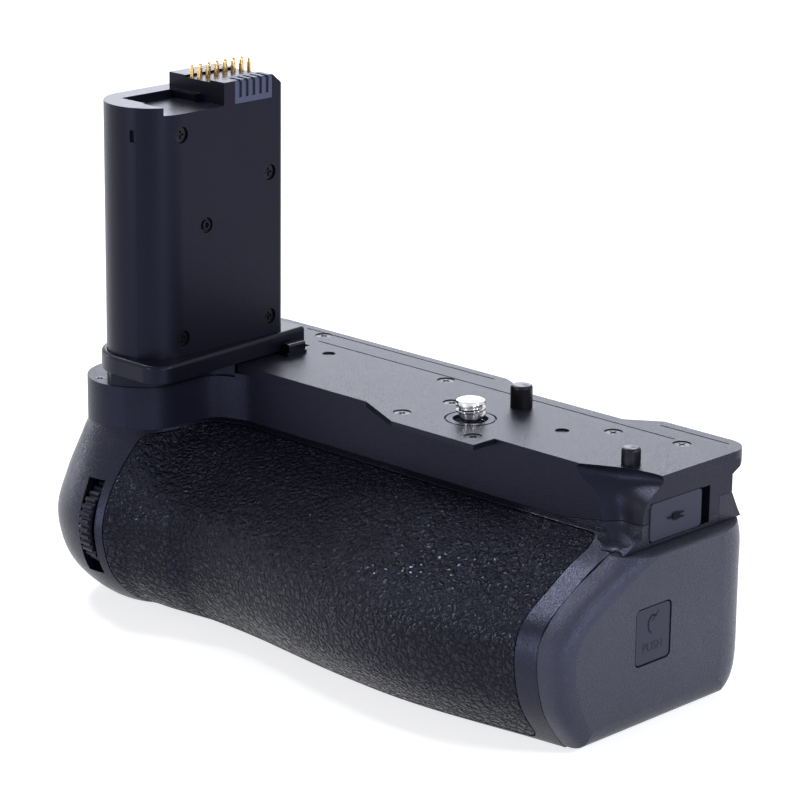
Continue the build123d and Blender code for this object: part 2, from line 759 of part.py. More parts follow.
def grip_shell(outer):
    """Hollow casing of the grip, before it is split into housing and rear cover."""
    room = block(-FAR, BULKHEAD_X, -FAR, FAR, FLOOR_T, FAR)
    shell = outer - (grip_form(SHELL_T) & room)
    shell += control_bosses(outer)
    shell -= control_holes()
    shell -= block(CAP_SEAM_X, FAR, -FAR, FAR, -FAR, CAP_TOP_Z)
    shell -= block(BULKHEAD_X - OVERRUN / 2, CAP_SEAM_X + OVERRUN, -BAY_Y, BAY_Y, BAY_Z0, BAY_Z1)
    return shell


def skins(outer):
    """Front grip skin and rear thumb skin, and the recesses that they lie in."""
    under = grip_form(SKIN_T)
    seat = grip_form(SKIN_T + SEAT_GAP)
    front = (skin_region() & outer) - under
    thumb = (thumb_region() & outer) - under
    recess = [skin_region(SKIN_GROOVE) - seat, thumb_region(SKIN_GROOVE) - seat]
    return front, thumb, recess


def latch_slot():
    """Room in the bulkhead for the nose of the latch bolt, with a lip at its mouth."""
    y0 = KEY_MID_Y - FINGER_W / 2 - KEY_GAP
    y1 = KEY_MID_Y + FINGER_W / 2 + KEY_GAP
    slot = block(BULKHEAD_X - OVERRUN, CAP_SEAM_X + OVERRUN, y0, y1, BOLT_Z0 - KEY_GAP, BAY_Z0 + SEAT_GAP)
    return slot + block(BULKHEAD_X - OVERRUN, CAP_SEAM_X - BOLT_LIP_T, y0, y1, BOLT_POCKET_Z, BAY_Z0)


def base_screw_places():
    return [(along * WALL_X, across * BACK_Y) for along, across in base_screw_shares]


def plate_screw_places():
    return [(along * WALL_X, across * BACK_Y) for along, across in plate_screw_shares]


def lower_housing(shell, recess):
    body = shell & behind(-FAR, REAR_SEAM_Y - PANEL_GAP / 2)
    for share in rib_shares:
        middle = share * BATTERY_L
        body += block(middle - RIB_T / 2, middle + RIB_T / 2, RIB_Y0, RIB_Y1, FLOOR_T - SEAT_GAP, CHAMBER_Z)
    for x, y in base_screw_places():
        body += post(x, y, BASE_SCREW_BOSS_R, FLOOR_T - SEAT_GAP, CHAMBER_Z)
        body -= post(x, y, BASE_SCREW_R + SEAT_GAP, -OVERRUN, BASE_SCREW_DEEP)
        body -= post(x, y, SCREW_SHANK_R, -OVERRUN, BASE_SCREW_DEEP + SCREW_SHANK_L)
    body -= recess
    body -= latch_slot()
    body -= post(0, 0, SOCKET_BODY_R + SEAT_GAP, -OVERRUN, FLOOR_T + OVERRUN)
    body -= flute_cutter()
    body -= door_recess()
    return body


def rear_cover(shell, recess):
    """Back half of the casing with the strip that rises behind the upper housing."""
    top = len(LEVEL_Z) - 1
    strip = Solid.make_loft([outline(top), outline(top, back=REAR_TOP_Y, z=REAR_TOP_Z)], ruled=True)
    body = shell + strip
    body &= behind(REAR_SEAM_Y + PANEL_GAP / 2, FAR)
    return body - recess


def door_bead(grow):
    """Slim hinge barrel along the front edge of the port door."""
    low = DOOR_Z0 + DOOR_CORNER_R - grow
    high = DOOR_Z0 + DOOR_H - DOOR_CORNER_R + grow
    return post(WALL_X, DOOR_Y0, DOOR_BEAD_R + grow, low, high)


def door_recess():
    """Seat of the port door, the finger slot beside it and the opening for the socket."""
    seat_x = WALL_X - DOOR_T - KEY_CLEAR
    recess = block(
        seat_x, FAR, DOOR_Y0 - KEY_CLEAR, DOOR_Y0 + DOOR_L + KEY_CLEAR,
        DOOR_Z0 - KEY_CLEAR, DOOR_Z0 + DOOR_H + KEY_CLEAR,
    )
    recess += block(
        WALL_X - DOOR_SLOT_DEEP, FAR, DOOR_Y0 + DOOR_L, DOOR_Y0 + DOOR_L + DOOR_SLOT_W,
        DOOR_Z0, DOOR_Z0 + DOOR_H,
    )
    recess += door_bead(RUN_CLEAR)
    y = DOOR_Y0 + DOOR_L / 2
    z = DOOR_Z0 + DOOR_H / 2
    half_w = PORT_W / 2 + SEAT_GAP
    half_h = PORT_H / 2 + SEAT_GAP
    return recess + block(seat_x - PORT_L - KEY_GAP, WALL_X, y - half_w, y + half_w, z - half_h, z + half_h)


def plate_outline():
    """Edges of the camera plate seen from above, with its tab and its notch."""
    centre_x, _, radius = bulge_at(len(LEVEL_Z) - 1, 0)
    left = centre_x - radius
    corner = BACK_CORNER_R
    diagonal = corner * math.sqrt(0.5)
    small = PLATE_CORNER_R
    small_diagonal = small * math.sqrt(0.5)
    return [
        Polyline(
            (left, PLATE_BACK_Y - corner), (left, NECK_BACK_Y), (NECK_EDGE_X, NECK_BACK_Y),
            (NECK_EDGE_X, WALL_Y),
            (TAB_LEFT_X, WALL_Y), (TAB_LEFT_X + TAB_SLOPE_RUN, TAB_FRONT_Y), (TAB_RIGHT_X, TAB_FRONT_Y),
            (TAB_RIGHT_X, WALL_Y), (PLATE_RIGHT_X, WALL_Y), (PLATE_RIGHT_X, PLATE_BACK_Y - small),
        ),
        ThreePointArc(
            (PLATE_RIGHT_X, PLATE_BACK_Y - small),
            (PLATE_RIGHT_X - small + small_diagonal, PLATE_BACK_Y - small + small_diagonal),
            (PLATE_RIGHT_X - small, PLATE_BACK_Y),
        ),
        Polyline(
            (PLATE_RIGHT_X - small, PLATE_BACK_Y), (NOTCH_RIGHT_X + NOTCH_RIGHT_RUN, PLATE_BACK_Y),
            (NOTCH_RIGHT_X, NOTCH_Y), (NOTCH_LEFT_X, NOTCH_Y), (NOTCH_LEFT_X - NOTCH_LEFT_RUN, PLATE_BACK_Y),
            (left + corner, PLATE_BACK_Y),
        ),
        ThreePointArc(
            (left + corner, PLATE_BACK_Y), (left + corner - diagonal, PLATE_BACK_Y - corner + diagonal),
            (left, PLATE_BACK_Y - corner),
        ),
    ]


def overhang():
    """Sloped underside that carries the rear edge of the plate, left out at the wheel notch."""
    inner = REAR_TOP_Y - OVERHANG_ROOT
    low = PLATE_Z0 - OVERHANG_DROP
    centre_x, _, radius = bulge_at(len(LEVEL_Z) - 1, 0)
    rail = prism_x(
        [(inner, PLATE_Z0 + SEAT_GAP), (PLATE_BACK_Y, PLATE_Z0 + SEAT_GAP), (REAR_TOP_Y, low), (inner, low)],
        centre_x - radius + BACK_CORNER_R, WALL_X,
    )
    rail &= extrude(Plane.XY.offset(low - SEAT_GAP) * make_face(plate_outline()), amount=PLATE_TOP - low)
    return rail - block(
        NOTCH_LEFT_X - NOTCH_LEFT_RUN, NOTCH_RIGHT_X + NOTCH_RIGHT_RUN, REAR_TOP_Y, FAR, -FAR, PLATE_Z0,
    )


def bridge_places():
    places = []
    for x in (WHEEL_X - BRIDGE_REACH, WHEEL_X + BRIDGE_REACH):
        for y in (BRIDGE_Y0, BRIDGE_Y1):
            places.append((x, y))
    return places


def upper_room():
    """Hollow under the plate, kept clear of the flute."""
    floor_z = SEAM_Z - OVERRUN
    rear_y = REAR_TOP_Y - UPPER_WALL_T
    room = block(UPPER_ROOM_X, FLUTE_START_X, WALL_Y + UPPER_WALL_T, rear_y, floor_z, CEILING_Z)
    return room + block(
        FLUTE_START_X - SEAT_GAP, WALL_X - UPPER_WALL_T, FLUTE_BACK_Y + UPPER_WALL_T, rear_y,
        floor_z, CEILING_Z,
    )


def neck_room():
    """Hollow in the neck under the floor that carries the tower."""
    room = extrude(Face(outline(len(LEVEL_Z) - 1, UPPER_WALL_T)), amount=TOWER_FOOT_Z - NECK_FLOOR_T - SEAM_Z)
    return room & block(-FAR, UPPER_ROOM_X, -FAR, FAR, -FAR, FAR)


def plate_cuts():
    """Holes, recesses, dimples and grooves of the camera plate."""
    over = PLATE_TOP + OVERRUN
    cuts = post(0, 0, SCREW_HOLE_R, CEILING_Z - OVERRUN, over)
    bush_top = PLATE_TOP - BUSH_SINK
    cuts += post(0, 0, BUSH_R + SEAT_GAP, bush_top - BUSH_T, bush_top)
    ring = post(0, 0, RING_GROOVE_R + GROOVE_W / 2, PLATE_TOP - GROOVE_DEEP, over)
    cuts += ring - post(0, 0, RING_GROOVE_R - GROOVE_W / 2, PLATE_TOP - OVERRUN, over)
    for x, y in plate_screw_places():
        cuts += post(x, y, PLATE_SCREW_R + SEAT_GAP, PLATE_TOP - PLATE_SCREW_DEEP, over)
        cuts += post(x, y, SCREW_SHANK_R, PLATE_TOP - PLATE_SCREW_DEEP - SCREW_SHANK_L, over)
    cuts += post(NECK_SCREW_X, NECK_SCREW_Y, NECK_SCREW_R + SEAT_GAP, NECK_TOP_Z - PLATE_SCREW_DEEP, over)
    for along, across in dimple_shares:
        cuts += post(along * WALL_X, across * BACK_Y, DIMPLE_R, PLATE_TOP - DIMPLE_DEEP, over)
    for x, y, radius in ((PIN_REAR_X, PIN_REAR_Y, PIN_REAR_R), (PIN_FRONT_X, PIN_FRONT_Y, PIN_FRONT_R)):
        cuts += post(x, y, radius - PIN_STEP, PLATE_TOP - PIN_ROOT, over)
    for along0, along1, across in groove_shares:
        middle = across * PLATE_BACK_Y
        cuts += block(
            along0 * WALL_X, along1 * WALL_X, middle - GROOVE_W / 2, middle + GROOVE_W / 2,
            PLATE_TOP - GROOVE_DEEP, over,
        )
    return cuts


def cable_well():
    """Passage below the tower for the leads between its contacts and the main board."""
    return block(
        TOWER_X0 + TOWER_WALL_T * 2, TOWER_SPLIT_X - TOWER_WALL_T, TOWER_Y0 + TOWER_NOSE_R,
        TOWER_Y1 - TOWER_WALL_T * 2, SEAM_Z - OVERRUN, TOWER_FOOT_Z + OVERRUN,
    )


def upper_housing():
    """Walls, camera plate and neck in one moulding that reaches down to the seam."""
    body = extrude(Face(outline(len(LEVEL_Z) - 1, back=REAR_TOP_Y)), amount=PLATE_Z0 - SEAM_Z)
    body += extrude(Plane.XY.offset(PLATE_Z0) * make_face(plate_outline()), amount=PLATE_T)
    body -= block(TAB_LEFT_X, TAB_RIGHT_X, TAB_FRONT_Y - OVERRUN, WALL_Y, -FAR, PLATE_TOP - TAB_T)
    body += overhang()
    body -= block(-FAR, NECK_EDGE_X, -FAR, NECK_BACK_Y, NECK_TOP_Z, FAR)
    body -= upper_room()
    body -= neck_room()
    body -= block(-FAR, FAR, REAR_SEAM_Y - PANEL_GAP / 2, FAR, -FAR, REAR_TOP_Z + PANEL_GAP)
    wheel_top = WHEEL_Z + WHEEL_T + WHEEL_ROOM
    body -= post(WHEEL_X, WHEEL_Y, WHEEL_TIP_R + WHEEL_ROOM, WHEEL_Z - WHEEL_ROOM, wheel_top)
    for x, y in bridge_places():
        body += post(x, y, BRIDGE_POST_R, BRIDGE_Z + BRIDGE_T, CEILING_Z + SEAT_GAP)
    body -= post(WHEEL_X, WHEEL_Y, AXLE_R, CEILING_Z - OVERRUN, CEILING_Z + BRIDGE_T)
    body -= tower_foot(SEAT_GAP)
    body -= cable_well()
    body -= plate_cuts()
    body -= flute_cutter()
    body -= door_recess()
    return body


def cross_recess(radius):
    """Cross drive for a screw head on XY whose face is at z 0."""
    long_side = min(CROSS_L, radius * cross_share)
    slots = Pos(0, 0, -CROSS_DEEP / 2) * Box(long_side, CROSS_W, CROSS_DEEP)
    return slots + Pos(0, 0, -CROSS_DEEP / 2) * Box(CROSS_W, long_side, CROSS_DEEP)


def screw_head(radius):
    """Flat screw head and shank below XY, with the head face at z 0."""
    head = post(0, 0, radius, -SCREW_HEAD_T, 0) - cross_recess(radius)
    foot = KEY_CLEAR - SCREW_HEAD_T - SCREW_SHANK_L
    return head + post(0, 0, SCREW_SHANK_R - SEAT_GAP, foot, -SCREW_HEAD_T)


def plate_screws():
    face = PLATE_TOP - PLATE_SCREW_DEEP + SCREW_HEAD_T
    screws = [Pos(x, y, face) * screw_head(PLATE_SCREW_R) for x, y in plate_screw_places()]
    neck = post(0, 0, NECK_SCREW_R, -PLATE_SCREW_DEEP, 0) - cross_recess(NECK_SCREW_R)
    screws.append(Pos(NECK_SCREW_X, NECK_SCREW_Y, NECK_TOP_Z) * neck)
    return screws


def base_screws():
    face = BASE_SCREW_DEEP - SCREW_HEAD_T
    return [Pos(x, y, face) * Rot(180, 0, 0) * screw_head(BASE_SCREW_R) for x, y in base_screw_places()]


def tripod_socket():
    """Threaded metal insert with a flange that bears on the inside of the floor."""
    body = post(0, 0, SOCKET_BODY_R, 0, SOCKET_TOP_Z)
    body += post(0, 0, SOCKET_FLANGE_R, FLOOR_T, FLOOR_T + SOCKET_FLANGE_T)
    return body - post(0, 0, SOCKET_R, -OVERRUN, SOCKET_L)


def screw_bush():
    """Metal ring moulded in under the rim of the screw hole."""
    top = PLATE_TOP - BUSH_SINK
    return post(0, 0, BUSH_R, top - BUSH_T, top) - post(0, 0, BUSH_HOLE_R, -FAR, FAR)


def camera_screw():
    """Stainless screw with a necked shank and a chamfered end."""
    top = PLATE_TOP + SCREW_RISE
    head = post(0, 0, SCREW_R, top - SCREW_THREAD_L, top)
    head = chamfer(head.edges().filter_by(GeomType.CIRCLE), (SCREW_R - SCREW_NECK_R) / 2)
    return head + post(0, 0, SCREW_NECK_R, BRIDGE_Z + RUN_CLEAR, top - SCREW_THREAD_L)


def screw_pinion():
    """Pinion pressed on the camera screw, with a hub between the bridge and the ceiling."""
    thickness = WHEEL_T - 2 * PINION_SINK
    phase = GEAR_ANGLE + 180 / SCREW_TEETH
    disc = toothed_disc(
        SCREW_PITCH_R + GEAR_ADD, SCREW_PITCH_R - GEAR_ROOT, SCREW_TEETH, thickness,
        tooth_tip_share, tooth_root_share, phase,
    )
    body = Pos(0, 0, WHEEL_Z + PINION_SINK) * disc
    body += post(0, 0, PINION_HUB_R, BRIDGE_Z + BRIDGE_T + RUN_CLEAR, CEILING_Z - RUN_CLEAR)
    return body - post(0, 0, SCREW_NECK_R, -FAR, FAR)


def attach_wheel():
    """Toothed thumbwheel whose coarse edge drives the pinion of the camera screw."""
    disc = toothed_disc(
        WHEEL_TIP_R, WHEEL_PITCH_R - GEAR_ROOT, WHEEL_TEETH, WHEEL_T, tooth_tip_share, tooth_root_share,
        GEAR_ANGLE + 180,
    )
    body = Pos(WHEEL_X, WHEEL_Y, WHEEL_Z) * disc
    inner = WHEEL_PITCH_R - WHEEL_RIM_T
    body -= post(WHEEL_X, WHEEL_Y, inner, -FAR, WHEEL_Z + WHEEL_WEB_SINK)
    body -= post(WHEEL_X, WHEEL_Y, inner, WHEEL_Z + WHEEL_T - WHEEL_WEB_SINK, FAR)
    body += post(WHEEL_X, WHEEL_Y, WHEEL_HUB_R, BRIDGE_Z + BRIDGE_T + RUN_CLEAR, CEILING_Z - RUN_CLEAR)
    return body - post(WHEEL_X, WHEEL_Y, AXLE_R + RUN_CLEAR, -FAR, FAR)


def wheel_axle():
    return post(WHEEL_X, WHEEL_Y, AXLE_R, BRIDGE_Z, CEILING_Z + BRIDGE_T)


def drive_bridge():
    """Steel plate under four posts that carries the wheel axle and the foot of the screw."""
    xs = [x for x, _ in bridge_places()]
    ys = [y for _, y in bridge_places()]
    body = rounded_block(
        min(xs) - BRIDGE_POST_R, max(xs) + BRIDGE_POST_R, min(ys) - BRIDGE_POST_R, max(ys) + BRIDGE_POST_R,
        BRIDGE_Z, BRIDGE_Z + BRIDGE_T, BRIDGE_POST_R, Axis.Z,
    )
    body -= post(0, 0, SCREW_NECK_R + RUN_CLEAR, -FAR, FAR)
    return body - post(WHEEL_X, WHEEL_Y, AXLE_R, -FAR, FAR)


def locating_pins():
    pins = []
    for x, y, radius, height in (
        (PIN_REAR_X, PIN_REAR_Y, PIN_REAR_R, PIN_REAR_H),
        (PIN_FRONT_X, PIN_FRONT_Y, PIN_FRONT_R, PIN_FRONT_H),
    ):
        pin = post(x, y, radius, PLATE_TOP, PLATE_TOP + height)
        pin = fillet(pin.edges().filter_by(GeomType.CIRCLE).sort_by(Axis.Z)[-1], PIN_EDGE_R)
        pins.append(pin + post(x, y, radius - PIN_STEP - SEAT_GAP, PLATE_TOP - PIN_ROOT, PLATE_TOP))
    return pins


def tower_profile(grow, z0, z1):
    """Plan of the tower with its round nose, drawn out along Z."""
    body = block(TOWER_X0 - grow, TOWER_X1 + grow, TOWER_Y0 - grow, TOWER_Y1 + grow, z0, z1)
    body = fillet(body.edges().filter_by(Axis.Z).sort_by(Axis.Y)[:2], TOWER_NOSE_R + grow)
    corners = body.edges().filter_by(Axis.Z).sort_by(Axis.Y)[-2:]
    return fillet(corners, max(TOWER_BACK_R + grow, SEAT_GAP))


def neck_column(inset, z0, z1):
    top = len(LEVEL_Z) - 1
    return extrude(Face(outline(top, inset, back=REAR_TOP_Y, z=z0)), amount=z1 - z0)


def tower_foot(grow):
    """Spigot of the tower in the neck."""
    spigot = tower_profile(grow, TOWER_FOOT_Z - grow, NECK_TOP_Z + grow)
    spigot &= neck_column(UPPER_WALL_T - grow, TOWER_FOOT_Z - grow, NECK_TOP_Z + grow)
    return spigot & block(-FAR, TOWER_SPLIT_X + grow, -FAR, FAR, -FAR, FAR)


def tower_screw_places():
    span = TOWER_TOP_Z - PLATE_TOP
    return [(PLATE_TOP + up * span, TOWER_Y0 + across * BATTERY_W) for up, across in tower_screw_shares]


def contact_places():
    places = []
    for row in range(CONTACT_ROWS):
        for step in range(CONTACT_COUNT):
            places.append((CONTACT_ROW_X - row * CONTACT_ROW_GAP, CONTACT_Y0 + step * CONTACT_PITCH))
    return places


def tower_solid():
    """Battery-shaped tower with its shoulder recess and raised contact block."""
    riser_z = COLLAR_Z0 - RISER_GAP / 2
    body = tower_profile(0, riser_z, BLOCK_TOP_Z)
    body += tower_profile(0, NECK_TOP_Z, riser_z) & neck_column(FOOT_INSET, NECK_TOP_Z, riser_z)
    body += tower_foot(0)
    body -= block(-FAR, BLOCK_X, -FAR, FAR, TOWER_TOP_Z, FAR)
    body -= block(-FAR, FAR, -FAR, BLOCK_Y, TOWER_TOP_Z, FAR)
    body -= prism_x(
        [
            (TOWER_Y1 - BLOCK_CHAMFER_Y, BLOCK_TOP_Z),
            (TOWER_Y1 + BLOCK_CHAMFER_Y, BLOCK_TOP_Z + BLOCK_CHAMFER_Z),
            (TOWER_Y1 + BLOCK_CHAMFER_Y, BLOCK_TOP_Z - 2 * BLOCK_CHAMFER_Z),
            (TOWER_Y1, BLOCK_TOP_Z - BLOCK_CHAMFER_Z),
        ],
        TOWER_X0 - OVERRUN, TOWER_X1 + OVERRUN,
    )
    body -= block(RECESS_X, STEP_X, RECESS_Y0, RECESS_Y1, RECESS_Z, FAR)
    body -= block(STEP_X - SEAT_GAP, FAR, STEP_Y0, BLOCK_Y, RECESS_Z, FAR)
    body -= block(
        CONTACT_ROW_X - CONTACT_ROW_GAP - PAD_EDGE, TOWER_X1 - COMB_DEEP, CONTACT_Y0 - PAD_EDGE, FAR,
        BLOCK_TOP_Z - PIN_FLOOR_DROP, FAR,
    )
    for z, y in tower_screw_places():
        body -= bar_x(y, z, TOWER_SCREW_R + SEAT_GAP, TOWER_X1 - TOWER_SCREW_DEEP, TOWER_X1 + OVERRUN)
    boss_floor = TOWER_X1 - TOWER_SCREW_DEEP / 2
    body -= bar_x(TOWER_BOSS_Y, TOWER_BOSS_Z, TOWER_SCREW_R, boss_floor, TOWER_X1 + OVERRUN)
    ring = bar_x(TOWER_BOSS_Y, TOWER_BOSS_Z, TOWER_BOSS_RING_R, boss_floor - SEAT_GAP, TOWER_X1)
    body += ring - bar_x(TOWER_BOSS_Y, TOWER_BOSS_Z, TOWER_BOSS_RING_R - TOWER_BOSS_RING_T, boss_floor, FAR)
    body -= block(
        TOWER_SPLIT_X - TOWER_NOTCH_L, TOWER_SPLIT_X, TOWER_Y0 - OVERRUN, TOWER_Y0 + TOWER_NOTCH_DEEP,
        TOWER_NOTCH_Z0, TOWER_NOTCH_Z1,
    )
    body -= comb_seat()
    for x, y in contact_places():
        body -= post(x, y, CONTACT_R + RUN_CLEAR, CAVITY_TOP_Z - OVERRUN, FAR)
    return body


def tower_halves():
    """Body and side cover of the tower, each with its part of the hollow."""
    solid = tower_solid()
    split = TOWER_SPLIT_X
    wall = TOWER_WALL_T
    hollow = tower_profile(-wall, TOWER_FOOT_Z - OVERRUN, CAVITY_TOP_Z)
    hollow -= block(-FAR, FAR, -FAR, FAR, -FAR, COLLAR_Z0 + wall) - cable_well()
    left = block(-FAR, split - SEAT_GAP / 2, -FAR, FAR, -FAR, FAR)
    body = (solid & left) - (hollow & left)
    lid_room = block(
        split - OVERRUN, TOWER_X1 - wall - TOWER_SCREW_DEEP, TOWER_Y0 + TOWER_NOSE_R, TOWER_Y1 - wall,
        COLLAR_Z0 + wall, CAVITY_TOP_Z,
    )
    lid = (solid & block(split + SEAT_GAP / 2, FAR, -FAR, FAR, NECK_TOP_Z + SEAT_GAP, FAR)) - lid_room
    return body, lid


def comb_seat():
    """Step along the top edge of the block that the comb fills."""
    y0 = COMB_Y0 - SEAT_GAP
    y1 = COMB_Y1 + SEAT_GAP
    seat = block(TOWER_X1 - COMB_DEEP, TOWER_X1 + OVERRUN, y0, y1, BLOCK_TOP_Z - COMB_TOP_T - SEAT_GAP, FAR)
    side_x = TOWER_X1 - COMB_SIDE_T - SEAT_GAP
    return seat + block(side_x, TOWER_X1 + OVERRUN, y0, y1, COMB_Z0 - SEAT_GAP, FAR)


def contact_comb():
    """Ribbed strip that wraps from the top of the block on to its side."""
    inner_x = TOWER_X1 - COMB_DEEP + SEAT_GAP
    body = block(inner_x, TOWER_X1, COMB_Y0, COMB_Y1, BLOCK_TOP_Z - COMB_TOP_T, BLOCK_TOP_Z)
    body += block(TOWER_X1 - COMB_SIDE_T, TOWER_X1, COMB_Y0, COMB_Y1, COMB_Z0, BLOCK_TOP_Z)
    long_edges = body.edges().filter_by(Axis.Y)
    corner = max(long_edges, key=lambda edge: edge.center().X + edge.center().Z)
    body = fillet(corner, COMB_EDGE_R)
    pitch = (COMB_Y1 - COMB_Y0) / (COMB_RIBS - 1 + COMB_RIB_SHARE)
    for rib in range(COMB_RIBS - 1):
        y0 = COMB_Y0 + pitch * (rib + COMB_RIB_SHARE)
        y1 = COMB_Y0 + pitch * (rib + 1)
        body -= block(TOWER_X1 - COMB_DEEP + COMB_TOP_T, FAR, y0, y1, BLOCK_TOP_Z - COMB_SLOT_DEEP, FAR)
        body -= block(TOWER_X1 - COMB_SLOT_DEEP, FAR, y0, y1, COMB_Z0 + COMB_TOP_T, FAR)
    return body


def contact_pins():
    pins = []
    shoulder = CONTACT_TOP_Z - CONTACT_TIP_L
    for x, y in contact_places():
        pin = post(x, y, CONTACT_R, CONTACT_TOP_Z - CONTACT_L, shoulder)
        pins.append(pin + post(x, y, CONTACT_TIP_R, shoulder, CONTACT_TOP_Z))
    return pins


def tower_board():
    """Upright board between the two contact rows."""
    x0 = CONTACT_ROW_X - CONTACT_ROW_GAP + CONTACT_R + KEY_CLEAR
    x1 = CONTACT_ROW_X - CONTACT_R - KEY_CLEAR
    y1 = TOWER_Y1 - TOWER_WALL_T - KEY_CLEAR
    return block(x0, x1, TOWER_BOARD_Y0, y1, TOWER_BOARD_Z0, CAVITY_TOP_Z - SEAT_GAP)


def tower_screws():
    screws = []
    for z, y in tower_screw_places():
        head = post(0, 0, TOWER_SCREW_R, -SCREW_HEAD_T, 0) - cross_recess(TOWER_SCREW_R)
        screws.append(Pos(TOWER_X1 - TOWER_SCREW_DEEP + SCREW_HEAD_T, y, z) * Rot(0, 90, 0) * head)
    return screws


def tower_collar():
    """Stepped collar round the foot of the tower."""
    points = [
        (COLLAR_TAIL_X, COLLAR_TAIL_Y), (COLLAR_RIGHT_X, COLLAR_NOSE_Y), (COLLAR_LEFT_X, COLLAR_NOSE_Y),
        (COLLAR_LEFT_X, COLLAR_TAIL_Y),
    ]
    body = prism_z(points, COLLAR_Z0, COLLAR_Z0 + COLLAR_T)
    for (x, y), radius in zip(points, (COLLAR_TAIL_R, COLLAR_SIDE_R, COLLAR_NOSE_R, COLLAR_TAIL_R)):
        upright = body.edges().filter_by(GeomType.LINE).filter_by(Axis.Z)
        corner = min(upright, key=lambda edge: math.hypot(edge.center().X - x, edge.center().Y - y))
        body = fillet(corner, radius)
    body = fillet(body.faces().sort_by(Axis.Z)[-1].outer_wire().edges(), COLLAR_EDGE_R)
    return body - tower_profile(SEAT_GAP, -FAR, FAR)


def chamber_hook():
    """Low locating lug on the plate beside the collar."""
    foot_top = PLATE_TOP + HOOK_FOOT_T
    body = block(HOOK_X0, HOOK_X1, HOOK_Y0, HOOK_Y1, PLATE_TOP, foot_top)
    nose = block(
        HOOK_NOSE_X, HOOK_X1, HOOK_Y0 + HOOK_EDGE_R, HOOK_Y1 - HOOK_EDGE_R, PLATE_TOP, PLATE_TOP + HOOK_H,
    )
    nose = fillet(nose.edges().filter_by(Axis.Y).sort_by(Axis.Z)[-2:], HOOK_EDGE_R)
    return body + nose


def battery_chamber():
    """Closed box that guides the tray, with posts for the main board."""
    body = block(CHAMBER_X0, BULKHEAD_X - SEAT_GAP, -CHAMBER_Y, CHAMBER_Y, CHAMBER_Z, CHAMBER_Z1)
    body = chamfer(body.edges().filter_by(Axis.X).sort_by(Axis.Z)[:2], CHAMBER_EDGE)
    body -= block(CHAMBER_X0 + CHAMBER_WALL_T, FAR, -BAY_Y, BAY_Y, BAY_Z0, BAY_Z1)
    for along, across in standoff_shares:
        x = along * BATTERY_L
        y = across * CHAMBER_Y
        body += post(x, y, STANDOFF_R, CHAMBER_Z1 - SEAT_GAP, CHAMBER_Z1 + STANDOFF_H)
    return body


def main_board():
    """Control board with its larger packages."""
    z0 = CHAMBER_Z1 + STANDOFF_H
    x0, x1 = (share * BATTERY_L for share in board_x_shares)
    y0, y1 = (share * CHAMBER_Y for share in board_y_shares)
    top = z0 + MAIN_BOARD_T
    body = block(x0, x1, y0, y1, z0, top)
    for along, across, size_share in chip_shares:
        x = x0 + along * (x1 - x0)
        y = y0 + across * (y1 - y0)
        half = size_share * STANDOFF_R
        body += block(x - half, x + half, y - half, y + half, top - SEAT_GAP, top + MAIN_BOARD_T)
    return body


def blade_boxes(x0, x1, grow):
    """Three contact blades across the end of a cell, between two places along X."""
    boxes = []
    z0 = BATTERY_Z + BLADE_UP
    for step in (-1, 0, 1):
        y = step * BLADE_PITCH
        half = BLADE_W / 2 + grow
        boxes.append(block(x0, x1, y - half, y + half, z0 - grow, z0 + BLADE_H + grow))
    return boxes


def battery_tray():
    """Drawer for two cells end to end, with lightening slots in its floor."""
    body = block(TRAY_X0, TRAY_X1, -TRAY_Y, TRAY_Y, TRAY_Z0, TRAY_Z0 + TRAY_RAIL_H)
    floor_z = TRAY_Z0 + TRAY_WALL_T
    half_w = BATTERY_W / 2 + BATTERY_CLEAR
    for x0 in (BATTERY_INNER_X, BATTERY_OUTER_X):
        body -= block(x0 - BATTERY_CLEAR, x0 + BATTERY_L + BATTERY_CLEAR, -half_w, half_w, floor_z, FAR)
        for share in tray_slot_shares:
            x = x0 + share * BATTERY_L
            half = TRAY_SLOT_L / 2
            body -= block(x - half, x + half, -TRAY_SLOT_W / 2, TRAY_SLOT_W / 2, -FAR, floor_z)
        for slot in blade_boxes(x0 - BATTERY_CLEAR - TRAY_WALL_T - SEAT_GAP, x0, SEAT_GAP):
            body -= slot
    return body + block(TRAY_X1 - TRAY_END_T, TRAY_X1, -TRAY_Y, TRAY_Y, TRAY_Z0, TRAY_Z1)


def tray_contacts():
    blades = []
    for x0 in (BATTERY_INNER_X, BATTERY_OUTER_X):
        blades += blade_boxes(x0 - BATTERY_CLEAR - TRAY_WALL_T, x0 + TERMINAL_DEEP - SEAT_GAP, 0)
    return blades


def bay_contacts():
    inner = CHAMBER_X0 + CHAMBER_WALL_T
    return blade_boxes(inner, inner + BLADE_T, 0)


def battery(x0):
    """Flat rechargeable cell pack with recessed terminals."""
    body = block(x0, x0 + BATTERY_L, -BATTERY_W / 2, BATTERY_W / 2, BATTERY_Z, BATTERY_Z + BATTERY_T)
    body = fillet(body.edges().filter_by(Axis.X), BATTERY_EDGE_R)
    for slot in blade_boxes(x0 - OVERRUN, x0 + TERMINAL_DEEP, (TERMINAL_W - BLADE_W) / 2):
        body -= slot
    return body


